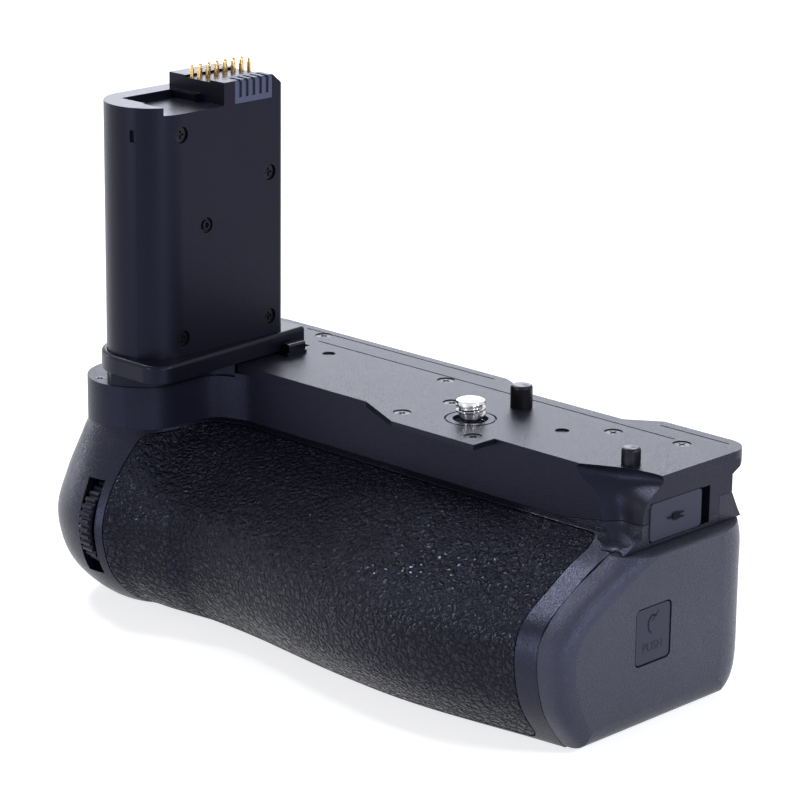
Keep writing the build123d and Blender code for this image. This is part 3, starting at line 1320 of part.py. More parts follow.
def cap_profile(share, along):
    """End view of the cap as a closed wire, part of the way out to its face."""
    start = CAP_SEAM_X + CAP_GAP
    x = start + along * (CAP_FACE_X - start)
    crown = crown_shares[-1][1]
    low = CAP_BOTTOM_Z + share * CAP_RIM
    high = CAP_TOP_Z - CAP_GAP - share * CAP_TOP_RIM
    back_inset = (1 - math.sqrt(1 - along ** 2)) * CAP_BACK_RIM
    front = []
    rear = []
    for height_share in cap_height_shares:
        z = low + height_share * (high - low)
        near = min(range(len(LEVEL_Z)), key=lambda index: abs(LEVEL_Z[index] - z))
        front_shift = share * CAP_RIM * slope_factor(LEVEL_DEPTH, near)
        front.append(Vector(x, WALL_Y - level_value(LEVEL_DEPTH, z) * crown + front_shift, z))
        rear.append(Vector(x, level_value(LEVEL_BACK, z) - back_inset, z))
    rear.reverse()
    return Wire([
        Edge.make_spline(front), Edge.make_line(front[-1], rear[0]),
        Edge.make_spline(rear), Edge.make_line(rear[-1], front[0]),
    ])


def cap_guides():
    """Rails that hold the latch bolt and the posts that carry the cap on the tray."""
    parts = []
    for y in (-CAP_POST_Y, CAP_POST_Y):
        for z in (CAP_POST_LOW_Z, CAP_POST_HIGH_Z):
            parts.append(bar_x(y, z, CAP_POST_R, TRAY_X1 + SEAT_GAP, CAP_INNER_X + SEAT_GAP))
    rail_top = BOLT_RAIL_Z + BOLT_RAIL_L
    for side in (-1, 1):
        reaches = (BOLT_W / 2 + KEY_CLEAR, BOLT_W / 2 + KEY_CLEAR + BOLT_RAIL_T)
        edges = sorted(KEY_MID_Y + side * reach for reach in reaches)
        parts.append(block(BOLT_RAIL_X, CAP_INNER_X + SEAT_GAP, edges[0], edges[1], BOLT_RAIL_Z, rail_top))
    back_x = BOLT_X0 + BOLT_T + KEY_CLEAR
    half = BOLT_BACK_W / 2
    back = block(back_x, CAP_INNER_X + SEAT_GAP, KEY_MID_Y - half, KEY_MID_Y + half, BOLT_RAIL_Z, rail_top)
    parts.append(back)
    return parts


def tray_end_cap():
    """Domed outer end of the tray, hollow behind, with the opening of the latch key."""
    body = Solid.make_loft([cap_profile(share, along) for along, share in cap_rim_shares])
    body -= rounded_block(
        CAP_SEAM_X - OVERRUN, CAP_INNER_X, -CAP_ROOM_Y, CAP_ROOM_Y,
        CAP_ROOM_Z0, CAP_ROOM_Z1, CAP_ROOM_R, Axis.X,
    )
    for guide in cap_guides():
        body += guide
    body -= rounded_block(
        CAP_INNER_X - KEY_GAP, CAP_FACE_X + OVERRUN, KEY_Y0 - KEY_GAP, KEY_Y0 + KEY_W + KEY_GAP,
        KEY_Z0 - KEY_GAP, KEY_Z0 + KEY_H + KEY_GAP, KEY_CORNER_R + KEY_GAP, Axis.X,
    )
    bite = KEY_PIN_BITE + SEAT_GAP
    return body - bar_y(KEY_PIVOT_X, KEY_PIVOT_Z, KEY_PIN_R, KEY_Y0 - bite, KEY_Y0 + KEY_W + bite)


def latch_key():
    """Flush key that tips about its pin: its foot goes in and its top edge swings out."""
    x1 = KEY_PIVOT_X + KEY_T / 2
    x0 = x1 - KEY_T
    body = rounded_block(x0, x1, KEY_Y0, KEY_Y0 + KEY_W, KEY_Z0, KEY_Z0 + KEY_H, KEY_CORNER_R, Axis.X)
    body += block(
        FINGER_X0, x0 + SEAT_GAP, KEY_MID_Y - FINGER_W / 2, KEY_MID_Y + FINGER_W / 2,
        KEY_PIVOT_Z - FINGER_T / 2, KEY_PIVOT_Z + FINGER_T / 2,
    )
    return body - bar_y(KEY_PIVOT_X, KEY_PIVOT_Z, KEY_PIN_R + RUN_CLEAR, -FAR, FAR)


def latch_pin():
    return bar_y(KEY_PIVOT_X, KEY_PIVOT_Z, KEY_PIN_R, KEY_Y0 - KEY_PIN_BITE, KEY_Y0 + KEY_W + KEY_PIN_BITE)


def latch_bolt():
    """Flat bolt that the key lifts, with its nose at the foot."""
    x1 = BOLT_X0 + BOLT_T
    half = FINGER_W / 2
    body = block(BOLT_X0, x1, KEY_MID_Y - BOLT_W / 2, KEY_MID_Y + BOLT_W / 2, BOLT_Z0, BOLT_TOP_Z)
    body -= block(
        BOLT_X0 - OVERRUN, x1 + OVERRUN, KEY_MID_Y - half - KEY_CLEAR, KEY_MID_Y + half + KEY_CLEAR,
        KEY_PIVOT_Z - BOLT_WINDOW_H / 2, KEY_PIVOT_Z + BOLT_WINDOW_H / 2,
    )
    return body + block(
        BOLT_NOSE_X, BOLT_X0 + SEAT_GAP, KEY_MID_Y - half, KEY_MID_Y + half, BOLT_Z0, BOLT_Z0 + BOLT_NOSE_T,
    )


def port_door():
    """Small hinged cover that lies flush in the right wall."""
    x0 = WALL_X - DOOR_T
    body = rounded_block(
        x0, WALL_X, DOOR_Y0, DOOR_Y0 + DOOR_L, DOOR_Z0, DOOR_Z0 + DOOR_H, DOOR_CORNER_R, Axis.X,
    )
    y = DOOR_Y0 + DOOR_L / 2
    z = DOOR_Z0 + DOOR_H / 2
    body += door_bead(0)
    return body + block(
        x0 - DOOR_TONGUE, x0 + SEAT_GAP, y - DOOR_TONGUE_W / 2, y + DOOR_TONGUE_W / 2,
        z - DOOR_TONGUE_H / 2, z + DOOR_TONGUE_H / 2,
    )


def port_socket():
    """Metal shell of the charging socket."""
    x1 = WALL_X - DOOR_T - KEY_CLEAR - SEAT_GAP
    x0 = x1 - PORT_L
    y = DOOR_Y0 + DOOR_L / 2
    z = DOOR_Z0 + DOOR_H / 2
    half_w = PORT_W / 2
    half_h = PORT_H / 2
    body = rounded_block(x0, x1, y - half_w, y + half_w, z - half_h, z + half_h, half_h - SEAT_GAP, Axis.X)
    half_w -= PORT_T
    half_h -= PORT_T
    return body - rounded_block(
        x0 + PORT_T, x1 + OVERRUN, y - half_w, y + half_w, z - half_h, z + half_h, half_h - SEAT_GAP, Axis.X,
    )


def dial(x, y, z, radius, width):
    """Ribbed thumb dial that turns about X."""
    disc = toothed_disc(radius, radius - DIAL_TOOTH_DEEP, DIAL_TEETH, width, dial_tip_share, dial_root_share)
    disc -= Cylinder(DIAL_AXLE_R + RUN_CLEAR, FAR)
    for end in (0, width):
        ring = Cylinder(radius - DIAL_RIM_T, DIAL_FACE_SINK * 2) - Cylinder(DIAL_HUB_R, DIAL_FACE_SINK * 2)
        disc -= Pos(0, 0, end) * ring
    return Pos(x - width / 2, y, z) * Rot(0, 90, 0) * disc


def dial_axle(x, y, z, width):
    reach = width / 2 + CHEEK_CLEAR + CHEEK_T
    return bar_x(y, z, DIAL_AXLE_R, x - reach, x + reach)


def dial_yoke(x, y, z, radius, width, mouth_y):
    """Fork that carries a dial axle: a plate behind the dial and two cheeks up to the wall."""
    way = math.copysign(1, mouth_y - y)
    back_y = y - way * (radius + CHEEK_CLEAR + CHEEK_T)
    floor_y = y - way * (radius + CHEEK_CLEAR)
    inner = width / 2 + CHEEK_CLEAR
    outer = inner + CHEEK_T
    half = DIAL_HUB_R + CHEEK_T
    body = block(x - outer, x + outer, min(back_y, mouth_y), max(back_y, mouth_y), z - half, z + half)
    open_y = mouth_y + way * OVERRUN
    body -= block(x - inner, x + inner, min(floor_y, open_y), max(floor_y, open_y), -FAR, FAR)
    return body - bar_x(y, z, DIAL_AXLE_R, x - FAR, x + FAR)


def shutter_button():
    """Large dished button with a stem to its switch."""
    plane = shutter_plane()
    body = disc_on(plane, SHUTTER_R, -SHUTTER_SINK, SHUTTER_PROUD)
    body = fillet(body.edges().filter_by(GeomType.CIRCLE), BUTTON_EDGE_R)
    dish_z = SHUTTER_PROUD - SHUTTER_DISH + SHUTTER_DISH_R
    body -= plane * Pos(0, 0, dish_z) * Sphere(SHUTTER_DISH_R)
    return body + disc_on(plane, SHUTTER_STEM_R, -SHUTTER_BOSS_L - SEAT_GAP, -SHUTTER_SINK + SEAT_GAP)


def shutter_lock_ring():
    """Turning collar round the shutter button with a small lever."""
    plane = shutter_plane()
    body = disc_on(plane, RING_OUT_R, -RING_SINK, RING_PROUD)
    body = fillet(body.edges().filter_by(GeomType.CIRCLE).sort_by(SortBy.DISTANCE)[-1:], BUTTON_EDGE_R)
    lever_x = RING_OUT_R - RING_LUG_L / 2
    lever_z = (KEY_CLEAR + RING_PROUD) / 2
    lever = Pos(lever_x + RING_LUG_L / 2, 0, lever_z) * Box(RING_LUG_L * 2, RING_LUG_W, RING_PROUD - KEY_CLEAR)
    body += plane * lever
    return body - disc_on(plane, RING_IN_R, -FAR, FAR)


def switch_cup(plane, boss_l, inner_r, room):
    """Switch housing that closes the back of a button boss."""
    top = -boss_l - SEAT_GAP
    body = disc_on(plane, inner_r + SWITCH_WALL_T, top - room - SWITCH_T, top)
    return body - disc_on(plane, inner_r, top - room, FAR)


def small_button(plane, radius):
    """Push button with a flange that stops it behind its boss."""
    flange_top = -BUTTON_BOSS_L - SEAT_GAP * 2
    body = disc_on(plane, radius, flange_top - BUTTON_FLANGE_T / 2, BUTTON_PROUD)
    rims = body.edges().filter_by(GeomType.CIRCLE)
    edge = max(rims, key=lambda item: (item.arc_center - plane.origin).dot(plane.z_dir))
    body = fillet(edge, BUTTON_EDGE_R)
    return body + disc_on(plane, radius + BUTTON_FLANGE_R, flange_top - BUTTON_FLANGE_T, flange_top)


def button_cup(plane, radius):
    inner = radius + BUTTON_RIM - SWITCH_WALL_T - SEAT_GAP
    room = BUTTON_FLANGE_T + BUTTON_TRAVEL + KEY_CLEAR
    return switch_cup(plane, BUTTON_BOSS_L, inner, room)


def stick_plane():
    return Plane(
        origin=(STICK_X, BACK_Y - STICK_PIVOT_DEEP, STICK_Z), x_dir=(1, 0, 0), z_dir=(0, 1, 0),
    )


def joystick_cup():
    """Cup behind the rear wall that carries the gimbal pins."""
    plane = stick_plane()
    top = STICK_PIVOT_DEEP - SHELL_T - KEY_CLEAR
    body = disc_on(plane, CUP_IN_R + CUP_WALL_T, -CUP_FLOOR_DROP - CUP_WALL_T, top)
    body -= disc_on(plane, CUP_IN_R, -CUP_FLOOR_DROP, FAR)
    hole = bar_x(plane.origin.Y, plane.origin.Z, STICK_PIN_R + RUN_CLEAR, STICK_X - FAR, STICK_X + FAR)
    return body - hole


def joystick_gimbal():
    plane = stick_plane()
    body = disc_on(plane, GIMBAL_OUT_R, -GIMBAL_T / 2, GIMBAL_T / 2)
    reach = CUP_IN_R + CUP_WALL_T / 2
    body += bar_x(plane.origin.Y, plane.origin.Z, STICK_PIN_R, STICK_X - reach, STICK_X + reach)
    body -= disc_on(plane, GIMBAL_IN_R, -FAR, FAR)
    hole = post(STICK_X, plane.origin.Y, STICK_PIN_R + RUN_CLEAR, STICK_Z - FAR, STICK_Z + FAR)
    return body - hole


def joystick():
    """Domed thumb stick on a crossed pivot."""
    plane = stick_plane()
    cap_top = STICK_PIVOT_DEEP + STICK_PROUD
    reach = (GIMBAL_IN_R + GIMBAL_OUT_R) / 2
    body = disc_on(plane, STICK_HUB_R, -GIMBAL_T / 2, GIMBAL_T / 2)
    body += post(STICK_X, plane.origin.Y, STICK_PIN_R, STICK_Z - reach, STICK_Z + reach)
    body += disc_on(plane, STICK_NECK_R, 0, cap_top - STICK_CAP_T / 2)
    cap = disc_on(plane, STICK_R, cap_top - STICK_CAP_T, cap_top)
    cap = fillet(cap.edges().filter_by(GeomType.CIRCLE), BUTTON_EDGE_R)
    return body + cap


def build_parts():
    outer = grip_form(0)
    front_skin, thumb_skin, recess = skins(outer)
    shell = grip_shell(outer)
    upper = upper_housing()
    tower, lid = tower_halves()
    front = (FRONT_DIAL_X, front_dial_y(), FRONT_DIAL_Z, FRONT_DIAL_R, FRONT_DIAL_W)
    rear = (REAR_DIAL_X, rear_dial_y(), REAR_DIAL_Z, REAR_DIAL_R, REAR_DIAL_W)
    front_mouth = BULGE_Y - BULGE_R + SHELL_T + YOKE_SEAT + KEY_CLEAR
    rear_mouth = BACK_Y - SHELL_T - YOKE_SEAT
    shutter_room = SHUTTER_TRAVEL + KEY_CLEAR
    return {
        "lower_housing": lower_housing(shell, recess[0]) + (upper & seam_rise(PANEL_GAP)),
        "rear_cover": rear_cover(shell, recess[1]),
        "upper_housing": upper - seam_rise(0),
        "front_grip_skin": front_skin,
        "rear_thumb_skin": thumb_skin,
        "tower_body": tower,
        "tower_cover": lid,
        "tower_collar": tower_collar(),
        "chamber_hook": chamber_hook(),
        "contact_comb": contact_comb(),
        "tower_board": tower_board(),
        "tower_screws": tower_screws(),
        "contact_pins": contact_pins(),
        "plate_screws": plate_screws(),
        "base_screws": base_screws(),
        "locating_pins": locating_pins(),
        "screw_bush": screw_bush(),
        "camera_screw": camera_screw(),
        "screw_pinion": screw_pinion(),
        "attach_wheel": attach_wheel(),
        "wheel_axle": wheel_axle(),
        "drive_bridge": drive_bridge(),
        "tripod_socket": tripod_socket(),
        "battery_chamber": battery_chamber(),
        "main_board": main_board(),
        "port_socket": port_socket(),
        "port_door": port_door(),
        "bay_contacts": bay_contacts(),
        "front_dial": dial(*front),
        "front_dial_axle": dial_axle(*front[:3], FRONT_DIAL_W),
        "front_dial_yoke": dial_yoke(*front, front_mouth),
        "rear_dial": dial(*rear),
        "rear_dial_axle": dial_axle(*rear[:3], REAR_DIAL_W),
        "rear_dial_yoke": dial_yoke(*rear, rear_mouth),
        "shutter_button": shutter_button(),
        "shutter_lock_ring": shutter_lock_ring(),
        "shutter_switch": switch_cup(shutter_plane(), SHUTTER_BOSS_L, SHUTTER_STEM_R * 2, shutter_room),
        "iso_button": small_button(iso_plane(), ISO_R),
        "iso_switch": button_cup(iso_plane(), ISO_R),
        "af_button": small_button(af_plane(), AF_R),
        "af_switch": button_cup(af_plane(), AF_R),
        "joystick_cup": joystick_cup(),
        "joystick_gimbal": joystick_gimbal(),
        "joystick": joystick(),
        "battery_tray": battery_tray(),
        "tray_contacts": tray_contacts(),
        "battery_inner": battery(BATTERY_INNER_X),
        "battery_outer": battery(BATTERY_OUTER_X),
        "tray_end_cap": tray_end_cap(),
        "latch_key": latch_key(),
        "latch_pin": latch_pin(),
        "latch_bolt": latch_bolt(),
    }


os.makedirs("parts", exist_ok=True)
for node, shape in build_parts().items():
    if isinstance(shape, list):
        shape = Compound(children=[item for item in shape])
    export_step(shape, "parts/" + node + ".step")
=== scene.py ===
"""Looks of a camera battery grip: a finish for every moulding and metal part, and the small pieces
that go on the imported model, which are screw threads and marks. All lengths are in metres."""

import json
import math

import bpy
from mathutils import Matrix, Vector


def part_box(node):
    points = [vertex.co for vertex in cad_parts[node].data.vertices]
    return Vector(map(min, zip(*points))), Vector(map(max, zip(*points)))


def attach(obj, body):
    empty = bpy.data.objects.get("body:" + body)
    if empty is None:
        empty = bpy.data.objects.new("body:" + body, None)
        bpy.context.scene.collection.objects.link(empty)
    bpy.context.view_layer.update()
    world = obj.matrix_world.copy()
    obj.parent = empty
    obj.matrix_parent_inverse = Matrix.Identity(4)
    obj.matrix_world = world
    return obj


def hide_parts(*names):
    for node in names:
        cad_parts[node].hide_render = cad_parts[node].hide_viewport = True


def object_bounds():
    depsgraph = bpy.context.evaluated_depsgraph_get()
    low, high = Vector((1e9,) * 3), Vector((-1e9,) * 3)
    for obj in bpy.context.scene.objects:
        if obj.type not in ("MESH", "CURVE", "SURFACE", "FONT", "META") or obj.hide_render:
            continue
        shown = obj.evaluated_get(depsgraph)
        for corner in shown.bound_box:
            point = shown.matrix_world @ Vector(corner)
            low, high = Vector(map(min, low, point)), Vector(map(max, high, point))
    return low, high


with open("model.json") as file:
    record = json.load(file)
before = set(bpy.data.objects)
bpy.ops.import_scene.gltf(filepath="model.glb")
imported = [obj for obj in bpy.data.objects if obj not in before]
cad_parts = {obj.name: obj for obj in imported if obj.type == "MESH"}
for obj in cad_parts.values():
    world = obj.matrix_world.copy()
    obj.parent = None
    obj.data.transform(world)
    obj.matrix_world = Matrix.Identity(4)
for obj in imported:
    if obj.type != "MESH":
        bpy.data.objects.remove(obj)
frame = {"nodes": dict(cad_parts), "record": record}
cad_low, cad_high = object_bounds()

MM = 0.001

# Camera, at the viewpoint that was worked out from the photograph
PHOTO_WIDTH_PX = 800
CAMERA_PLACE = Vector((451.13, -492.31, 255.12)) * MM
CAMERA_AZIMUTH = 43.779
CAMERA_PITCH = 16.572
CAMERA_ROLL = 0.660
CAMERA_FOCUS_PX = 3311.17
CAMERA_CLIP = (0.01, 50.0)
SENSOR_WIDTH_MM = 36.0

# Studio: a pale floor, a white surround and soft lamps in a ring round the middle of the grip
FLOOR_SIZE = 12.0
FLOOR_DROP = 0.05 * MM
FLOOR_TONE = 0.7
FLOOR_GLOW = 0.72
WORLD_FILL = 0.2
LAMP_COLOUR = (0.84, 0.87, 1.0)
LAMP_DISTANCE = 1.2
LAMPS = [  # name, azimuth, elevation, size, power
    ("back_box", 132, 22, 0.6, 4.0),
    ("high_box", 177, 52, 0.24, 7.5),
    ("left_box", -168, 6, 0.14, 1.4),
    ("front_box", -97, 5, 0.16, 4.5),
    ("right_box", -18, 5, 0.16, 3.5),
    ("side_box", 15, 29, 0.22, 7.0),
]

# Grain of an eroded mould. A range is the span of a texture over which an effect sets in.
GRAIN_DETAIL = 3.0
GRAIN_ROUGHNESS = 0.65
DOT_RANGE = (0.05, 0.6)
DOT_HEIGHT = 0.45
SPARKLE_RANGE = (0.52, 0.72)
DRIFT_RANGE = (0.3, 0.7)
MOULDED_EDGE = 0.12 * MM

# Leather grain of the rubber skins
PEBBLE_RIM = 0.32
WRINKLE_RIM = 0.25
WRINKLE_HEIGHT = 0.4
WRINKLE_FINENESS = 1.9
CREASE_RANGE = (0.15, 0.7)
RUBBER_WRINKLE = 0.8

# Turned metal
TARNISH_SCALE = 400.0
TARNISH_RANGE = (0.4, 0.7)
TARNISH_ROUGHENING = 1.6
METAL_EDGE = 0.08 * MM

# Circuit boards
TRACK_SCALE = 260.0
TRACK_WIDTH = 0.03
TRACK_SOFTNESS = 0.1
TRACK_RANGE = (0.2, 0.8)
TRACK_HEIGHT = 0.03 * MM
LACQUER_ROUGHNESS = 0.25

SOFT_DETAIL = 2.0
EDGE_SAMPLES = 4

# Tint of the reflections in the black mouldings, which lean towards blue
COOL_TINT = (0.64, 0.67, 1.0, 1.0)

# Camera screw and tripod socket: a quarter inch thread with 20 turns per inch
THREAD_PITCH = 1.27 * MM
THREAD_DEPTH = 0.62 * MM
THREAD_FOOT_SHARE = 0.86
THREAD_CREST_SHARE = 0.3
THREAD_STEPS = 48
SCREW_TIP_CHAMFER = 0.62 * MM
SCREW_TIP_LENGTH = 0.9 * MM
SCREW_TOP_SINK = 0.001 * MM
SCREW_THREAD_LENGTH = 3.5 * MM
SCREW_RIDGE_START = 0.16
SCREW_RIDGE_TURNS = 2
SCREW_ROOT_SHARE = 0.98
SCREW_NECK_RADIUS = 2.35 * MM
SOCKET_RADIUS = 3.175 * MM
SOCKET_ROOT_SHARE = 1.02
SOCKET_LEAD_IN = 0.6 * MM
SOCKET_THREAD_LENGTH = 4.0 * MM

# Marks: thin plates centred on the face that carries them, so that half their thickness shows
MARK_THICKNESS = 0.08 * MM
MARK_ROUND_STEPS = 12
LETTER_CURVE_STEPS = 4

# The plug on the port door: its size as a share of the door's height, then the width and the
# points of each stroke in that size
ICON_SHARE = 0.22
ICON_STROKES = [
    (0.95, [(-0.3, 0.0), (0.2, 0.0)]),
    (0.2, [(0.6, 0.26), (1.25, 0.26)]),
    (0.2, [(0.6, -0.26), (1.25, -0.26)]),
    (0.22, [(-0.7, 0.0), (-1.4, 0.0)]),
]

# The word and arrow on the battery key, as shares of the key's height
WORD_SIZE = 0.225
WORD_RISE = 0.27
ARROW_RADIUS = 0.13
ARROW_RISE = 0.68

# The arrow's own shape, in its radius: angles of its arc, its stretch, and its head
ARROW_ANGLES = [60 + 24 * step for step in range(9)]
ARROW_STRETCH = 1.25
ARROW_WIDTH = 0.26
ARROW_HEAD_START = (-0.1, 0.55)
ARROW_HEAD_END = (1.15, 1.55)

# Meshes
SMOOTH_ANGLE = 30.0
FACING = 0.9
CENTRE_GAP = 0.0001 * MM
MERGE_DISTANCE = 0.0005 * MM


# Node helpers

def add_node(tree, kind, sockets=None, **settings):
    """Adds a node. A socket is given a plain value or the output that feeds it."""
    node = tree.nodes.new(kind)
    for name, value in settings.items():
        setattr(node, name, value)
    for socket, value in (sockets or {}).items():
        if isinstance(value, bpy.types.NodeSocket):
            tree.links.new(value, node.inputs[socket])
        else:
            node.inputs[socket].default_value = value
    return node


def calculate(tree, operation, *values):
    return add_node(
        tree, "ShaderNodeMath", dict(enumerate(values)), operation=operation
    ).outputs[0]


def spread(tree, value, from_low, from_high, to_low, to_high, smooth=True):
    """Maps a value from one range to another and holds it inside."""
    sockets = {
        "Value": value, "From Min": from_low, "From Max": from_high,
        "To Min": to_low, "To Max": to_high,
    }
    kind = "SMOOTHSTEP" if smooth else "LINEAR"
    node = add_node(tree, "ShaderNodeMapRange", sockets, interpolation_type=kind)
    return node.outputs["Result"]


def noise(tree, vector, scale, **sockets):
    sockets = {"Vector": vector, "Scale": scale, "Detail": SOFT_DETAIL, **sockets}
    return add_node(tree, "ShaderNodeTexNoise", sockets)


def cells(tree, vector, scale, feature):
    """Distances in a pattern of cells, from their middles (F1) or from their edges."""
    sockets = {"Vector": vector, "Scale": scale}
    return add_node(tree, "ShaderNodeTexVoronoi", sockets, feature=feature).outputs["Distance"]


def new_group(name, inputs, outputs):
    """Starts a shader node group and returns it with its input and output nodes."""
    group = bpy.data.node_groups.new(name, "ShaderNodeTree")
    for title, (kind, value) in inputs.items():
        socket = group.interface.new_socket(
            title, in_out="INPUT", socket_type="NodeSocket" + kind
        )
        if value is not None:
            socket.default_value = value
    for title in outputs:
        group.interface.new_socket(title, in_out="OUTPUT", socket_type="NodeSocketFloat")
    return group, group.nodes.new("NodeGroupInput"), group.nodes.new("NodeGroupOutput")


# Shared effects

def moulded_grain_group():
    """Fine even grain of an eroded mould, with a mask of sparse shiny points, which is also used
    to paint glints, and slow drift in tone.
    """
    group, given, result = new_group(
        "moulded_grain",
        {
            "Vector": ("Vector", None),
            "Grain Size": ("Float", 0.3 * MM),
            "Drift Size": ("Float", 30 * MM),
        },
        ["Height", "Sparkle", "Drift"],
    )
    fine = calculate(group, "DIVIDE", 1.0, given.outputs["Grain Size"])
    slow = calculate(group, "DIVIDE", 1.0, given.outputs["Drift Size"])
    vector = given.outputs["Vector"]
    grain = noise(group, vector, fine, Detail=GRAIN_DETAIL, Roughness=GRAIN_ROUGHNESS)
    dots = spread(group, cells(group, vector, fine, "F1"), *DOT_RANGE, 1.0, 0.0)
    height = calculate(group, "MULTIPLY_ADD", dots, DOT_HEIGHT, grain.outputs["Fac"])
    sparkle = spread(group, grain.outputs["Fac"], *SPARKLE_RANGE, 0.0, 1.0)
    group.links.new(height, result.inputs["Height"])
    group.links.new(sparkle, result.inputs["Sparkle"])
    group.links.new(noise(group, vector, slow).outputs["Fac"], result.inputs["Drift"])
    return group


def leather_grain_group():
    """Pebbled leather grain: wrinkled cells with soft tops, parted by narrow creases."""
    group, given, result = new_group(
        "leather_grain",
        {
            "Vector": ("Vector", None),
            "Cell Size": ("Float", 1.3 * MM),
            "Wrinkle": ("Float", 0.5),
        },
        ["Height", "Crease"],
    )
    cell = given.outputs["Cell Size"]
    scale = calculate(group, "DIVIDE", 1.0, cell)
    vector = given.outputs["Vector"]

    def vector_math(operation, sockets):
        return add_node(group, "ShaderNodeVectorMath", sockets, operation=operation).outputs[0]

    swirl = noise(group, vector, scale).outputs["Color"]
    centred = vector_math("SUBTRACT", {0: swirl, 1: (0.5, 0.5, 0.5)})
    reach = calculate(group, "MULTIPLY", cell, given.outputs["Wrinkle"])
    shift = vector_math("SCALE", {0: centred, "Scale": reach})
    bent = vector_math("ADD", {0: vector, 1: shift})
    large = cells(group, bent, scale, "DISTANCE_TO_EDGE")
    finer = calculate(group, "MULTIPLY", scale, WRINKLE_FINENESS)
    small = cells(group, bent, finer, "DISTANCE_TO_EDGE")
    pebble = spread(group, large, 0.0, PEBBLE_RIM, 0.0, 1.0)
    wrinkle = spread(group, small, 0.0, WRINKLE_RIM, 0.0, 1.0)
    height = calculate(group, "MULTIPLY_ADD", wrinkle, WRINKLE_HEIGHT, pebble)
    group.links.new(height, result.inputs["Height"])
    group.links.new(spread(group, height, *CREASE_RANGE, 1.0, 0.0), result.inputs["Crease"])
    return group


def turning_marks_group():
    """Fine rings that a lathe leaves round an upright axis, and slight tarnish."""
    group, given, result = new_group(
        "turning_marks",
        {"Vector": ("Vector", None), "Ring Size": ("Float", 0.12 * MM)},
        ["Height", "Tarnish"],
    )
    scale = calculate(group, "DIVIDE", 1.0, given.outputs["Ring Size"])
    vector = given.outputs["Vector"]
    parts = add_node(group, "ShaderNodeSeparateXYZ", {0: vector}).outputs
    squares = [calculate(group, "MULTIPLY", parts[axis], parts[axis]) for axis in range(2)]
    radius = calculate(group, "SQRT", calculate(group, "ADD", *squares))
    along = add_node(group, "ShaderNodeCombineXYZ", {0: radius, 1: parts[2]}).outputs[0]
    rings = noise(group, along, scale)
    blotch = noise(group, vector, TARNISH_SCALE, Detail=GRAIN_DETAIL)
    tarnish = spread(group, blotch.outputs["Fac"], *TARNISH_RANGE, 0.0, 1.0)
    group.links.new(rings.outputs["Fac"], result.inputs["Height"])
    group.links.new(tarnish, result.inputs["Tarnish"])
    return group


moulded_grain = moulded_grain_group()
leather_grain = leather_grain_group()
turning_marks = turning_marks_group()


# Materials

def place_group(tree, group, vector, **values):
    """Puts a shared group in a material with its own values."""
    node = tree.nodes.new("ShaderNodeGroup")
    node.node_tree = group
    tree.links.new(vector, node.inputs["Vector"])
    for title, value in values.items():
        node.inputs[title.replace("_", " ").title()].default_value = value
    return node.outputs


def start_material(name):
    """A new material with its shader wired up. Returns it, its tree, shader and coordinates."""
    material = bpy.data.materials.new(name)
    material.use_nodes = True
    tree = material.node_tree
    tree.nodes.clear()
    shader = tree.nodes.new("ShaderNodeBsdfPrincipled")
    output = tree.nodes.new("ShaderNodeOutputMaterial")
    tree.links.new(shader.outputs[0], output.inputs["Surface"])
    place = tree.nodes.new("ShaderNodeTexCoord").outputs["Object"]
    return material, tree, shader, place


def two_tone(tree, shader, mask, first, second):
    """Base colour that runs from one colour to another with a mask."""
    sockets = {"Factor": mask, "A": (*first, 1.0), "B": (*second, 1.0)}
    mix = add_node(tree, "ShaderNodeMix", sockets, data_type="RGBA")
    colour = next(socket for socket in mix.outputs if socket.type == "RGBA")
    tree.links.new(colour, shader.inputs["Base Color"])


def bump(tree, shader, height, depth, edge=0.0):
    """Bump of a real depth, over edges that are rounded to a small radius."""
    sockets = {"Height": height, "Distance": depth, "Strength": 1.0}
    if edge:
        rounded = add_node(tree, "ShaderNodeBevel", {"Radius": edge}, samples=EDGE_SAMPLES)
        sockets["Normal"] = rounded.outputs[0]
    node = add_node(tree, "ShaderNodeBump", sockets)
    tree.links.new(node.outputs[0], shader.inputs["Normal"])


def tint_gloss(shader, gloss):
    shader.inputs["Specular Tint"].default_value = COOL_TINT
    shader.inputs["Specular IOR Level"].default_value = gloss


def moulded_plastic(
    name, dark, light, rough, smooth, grain, depth, gloss, edge=MOULDED_EDGE, painted_glint_share=0.15
):
    """Moulded plastic: two near tones that drift at random, a grain of its own size, and sparse
    points that shine more and are painted lighter as painted glints.
    """
    material, tree, shader, place = start_material(name)
    out = place_group(tree, moulded_grain, place, grain_size=grain)
    # The sparse shiny points are painted in the light tone, which is a painted glint over the
    # random drift in tone.
    drift = spread(tree, out["Drift"], *DRIFT_RANGE, 0.0, 1.0 - painted_glint_share)
    mask = calculate(tree, "MULTIPLY_ADD", out["Sparkle"], painted_glint_share, drift)
    two_tone(tree, shader, mask, dark, light)
    roughness = spread(tree, out["Sparkle"], 0.0, 1.0, rough, smooth, smooth=False)
    tree.links.new(roughness, shader.inputs["Roughness"])
    tint_gloss(shader, gloss)
    bump(tree, shader, out["Height"], depth, edge)
    return material


def rubber_with_painted_crease_shade(name, dark, light, rough, smooth, cell, depth, gloss):
    """Rubber skin with leather grain: creases are coloured dark as painted shade and are dull,
    cell tops shine.
    """
    material, tree, shader, place = start_material(name)
    out = place_group(tree, leather_grain, place, cell_size=cell, wrinkle=RUBBER_WRINKLE)
    # The crease mask sets the colour: creases take the dark tone, which is painted shade, and cell
    # tops take the light tone.
    two_tone(tree, shader, out["Crease"], light, dark)
    roughness = spread(tree, out["Crease"], 0.0, 1.0, smooth, rough)
    tree.links.new(roughness, shader.inputs["Roughness"])
    tint_gloss(shader, gloss)
    bump(tree, shader, out["Height"], depth)
    return material


